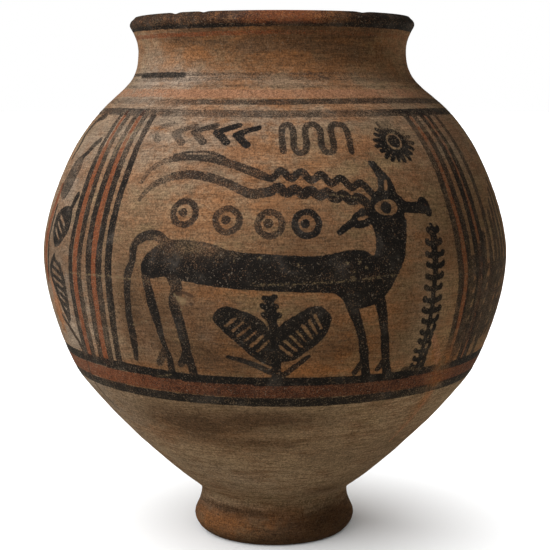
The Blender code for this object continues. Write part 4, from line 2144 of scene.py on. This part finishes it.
@dataclass(frozen=True)
class BareClay:
    """Unpainted clay inside the jar and under its foot."""

    light: Colour = (0.34, 0.185, 0.098)
    dark: Colour = (0.205, 0.112, 0.062)
    dust: Colour = (0.40, 0.32, 0.24)
    roughness: float = 0.92
    gloss: float = 0.25
    depth: float = 0.0004

    def make(self, effects: Effects) -> bpy.types.Material:
        """Build the material.

        Args:
            effects: The shared node groups.

        Returns:
            The finished material.
        """
        on = ClayFinish("bare_clay", effects)
        nodes = on.nodes
        mottle = nodes.weighed(on.lines["Sweeps"], 0.5, on.grain["Mottle"], 0.5)
        colour = nodes.mix(nodes.step(mottle, 0.36, 0.62), self.dark, self.light)
        colour = nodes.mix(nodes.step(on.grain["Grit"], 0.62, 0.36, 0.0, 0.35), colour, self.dark)
        on.dress(nodes.coated(colour, self.dust, on.dust["Bloom"], 0.35), self.roughness, self.gloss)
        on.emboss(0.9, nodes.weighed(on.lines["Lines"], self.depth, on.grain["Height"], self.depth))
        return on.material


@dataclass(frozen=True)
class Studio:
    """A pale floor, a soft lamp to the left and the camera.

    Args:
        distance: From the camera to the jar's axis, in m.
        eye_height: Height of the camera, in m.
        look_down: How far below level it looks, in degrees.
        lens: Focal length for a sensor 36 mm wide.
        key_turn: Azimuth of the lamp.
        key_rise: Its elevation.
        key_distance: Its distance, in m, from the jar's middle.
        middle: Height of that middle, in m.
        key_size: Its width, in m.
        key_power: Its power, in W.
        key_colour: Its colour.
        ambient: Radiance that fills the shadows.
        fill_colour: The colour of that radiance.
        floor_power: Strength of the light that only the floor takes.
        floor_spread: Width of that light, in degrees.
        floor_toward: The way to that light from the floor.
        floor_reach: Half the width of the floor, in m.
        floor_seen: The floor's colour to the camera.
        floor_thrown: The floor's colour to the jar.
    """

    distance: float = 1.035
    eye_height: float = 0.322
    look_down: float = 7.2
    lens: float = 91.64
    key_turn: float = -50.0
    key_rise: float = 43.0
    key_distance: float = 1.8
    middle: float = 0.20
    key_size: float = 0.9
    key_power: float = 24.0
    key_colour: Colour = (0.98, 0.985, 1.03)
    ambient: float = 0.12
    fill_colour: Colour = (1.0, 0.92, 0.80)
    floor_power: float = 6.75
    floor_spread: float = 130.0
    floor_toward: Colour = (-0.42, -0.30, 0.85)
    floor_reach: float = 30.0
    floor_seen: Colour = (0.89, 0.90, 0.91)
    floor_thrown: Colour = (0.29, 0.27, 0.235)

    def build(self, jar: bpy.types.Object) -> None:
        """Make the floor, the lights, the world and the camera.

        Args:
            jar: The jar that the lamp lights.
        """
        floor = self.make_floor()
        self.make_key(jar)
        self.make_floor_light(floor)
        self.make_world()
        self.make_camera()
        bpy.context.scene.view_settings.view_transform = "Standard"

    def make_camera(self) -> None:
        """The camera before the jar, looking slightly down at it."""
        data = bpy.data.cameras.new("camera")
        data.lens = self.lens
        data.sensor_width = 36.0
        camera = put("camera", data)
        camera.location = (0.0, -self.distance, self.eye_height)
        camera.rotation_euler = (math.radians(90.0 - self.look_down), 0.0, 0.0)
        bpy.context.scene.camera = camera

    def make_floor(self) -> bpy.types.Object:
        """A wide floor that looks pale but throws little light up."""
        mesh = bpy.data.meshes.new("floor")
        corners = ((-1.0, -1.0), (1.0, -1.0), (1.0, 1.0), (-1.0, 1.0))
        places = [(self.floor_reach * x, self.floor_reach * y, 0.0) for x, y in corners]
        mesh.from_pydata(places, [], [(0, 1, 2, 3)])
        floor = put("floor", mesh)
        pale = Finish("pale_floor")
        seen = pale.nodes.node("LightPath", {}).outputs["Is Camera Ray"]
        pale.dress(pale.nodes.mix(seen, self.floor_thrown, self.floor_seen), 0.95, 0.1)
        mesh.materials.append(pale.material)
        return floor

    def make_key(self, jar: bpy.types.Object) -> None:
        """The soft lamp to the left of the camera, which lights only the jar.

        Args:
            jar: The jar that it lights.
        """
        data = bpy.data.lights.new("key", "AREA")
        data.shape = "DISK"
        data.size = self.key_size
        data.energy = self.key_power
        data.color = self.key_colour
        turn, rise = math.radians(self.key_turn), math.radians(self.key_rise)
        level = math.cos(rise)
        toward = Vector((math.sin(turn) * level, -math.cos(turn) * level, math.sin(rise)))
        lamp = put("key", data)
        lamp.location = Vector((0.0, 0.0, self.middle)) + toward * self.key_distance
        self.aim(lamp, toward, jar)

    def make_floor_light(self, floor: bpy.types.Object) -> None:
        """A wide soft sun that lights only the floor, from above and the left.

        Args:
            floor: The floor that it lights.
        """
        data = bpy.data.lights.new("floor_light", "SUN")
        data.energy = self.floor_power
        data.angle = math.radians(self.floor_spread)
        self.aim(put("floor_light", data), Vector(self.floor_toward).normalized(), floor)

    @staticmethod
    def aim(lamp: bpy.types.Object, toward: Vector, taker: bpy.types.Object) -> None:
        """Turn a lamp to the jar, and let it light one object.

        Args:
            lamp: The lamp.
            toward: Direction from the jar to the lamp.
            taker: The object that it lights.
        """
        lamp.rotation_euler = (-toward).to_track_quat("-Z", "Y").to_euler()
        takers = bpy.data.collections.new(f"lit_by_{lamp.name}")
        takers.objects.link(taker)
        lamp.light_linking.receiver_collection = takers

    def make_world(self) -> None:
        """White behind the jar, and a dimmer even fill for everything else."""
        world = bpy.data.worlds.new("studio")
        bpy.context.scene.world = world
        world.use_nodes = True
        nodes = Tree(world.node_tree)
        ground = world.node_tree.nodes["Background"].inputs
        seen = nodes.node("LightPath", {}).outputs["Is Camera Ray"]
        nodes.feed(ground["Color"], nodes.mix(seen, self.fill_colour, (1.0, 1.0, 1.0)))
        nodes.feed(ground["Strength"], nodes.lift(seen, 1.0 - self.ambient, self.ambient))


def main() -> None:
    """Build the jar, dress it and set the stage."""
    logging.basicConfig(level=logging.INFO, format="%(name)s: %(message)s")
    jar = PaintedJar().build()
    effects = Effects()
    jar.data.materials.append(PaintedClay().make(effects))
    jar.data.materials.append(BareClay().make(effects))
    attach(jar, "root")
    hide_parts("vessel")
    Studio().build(jar)
    LOG.info("studio: camera, key, floor and world ready")


if __name__ == "__main__":
    main()
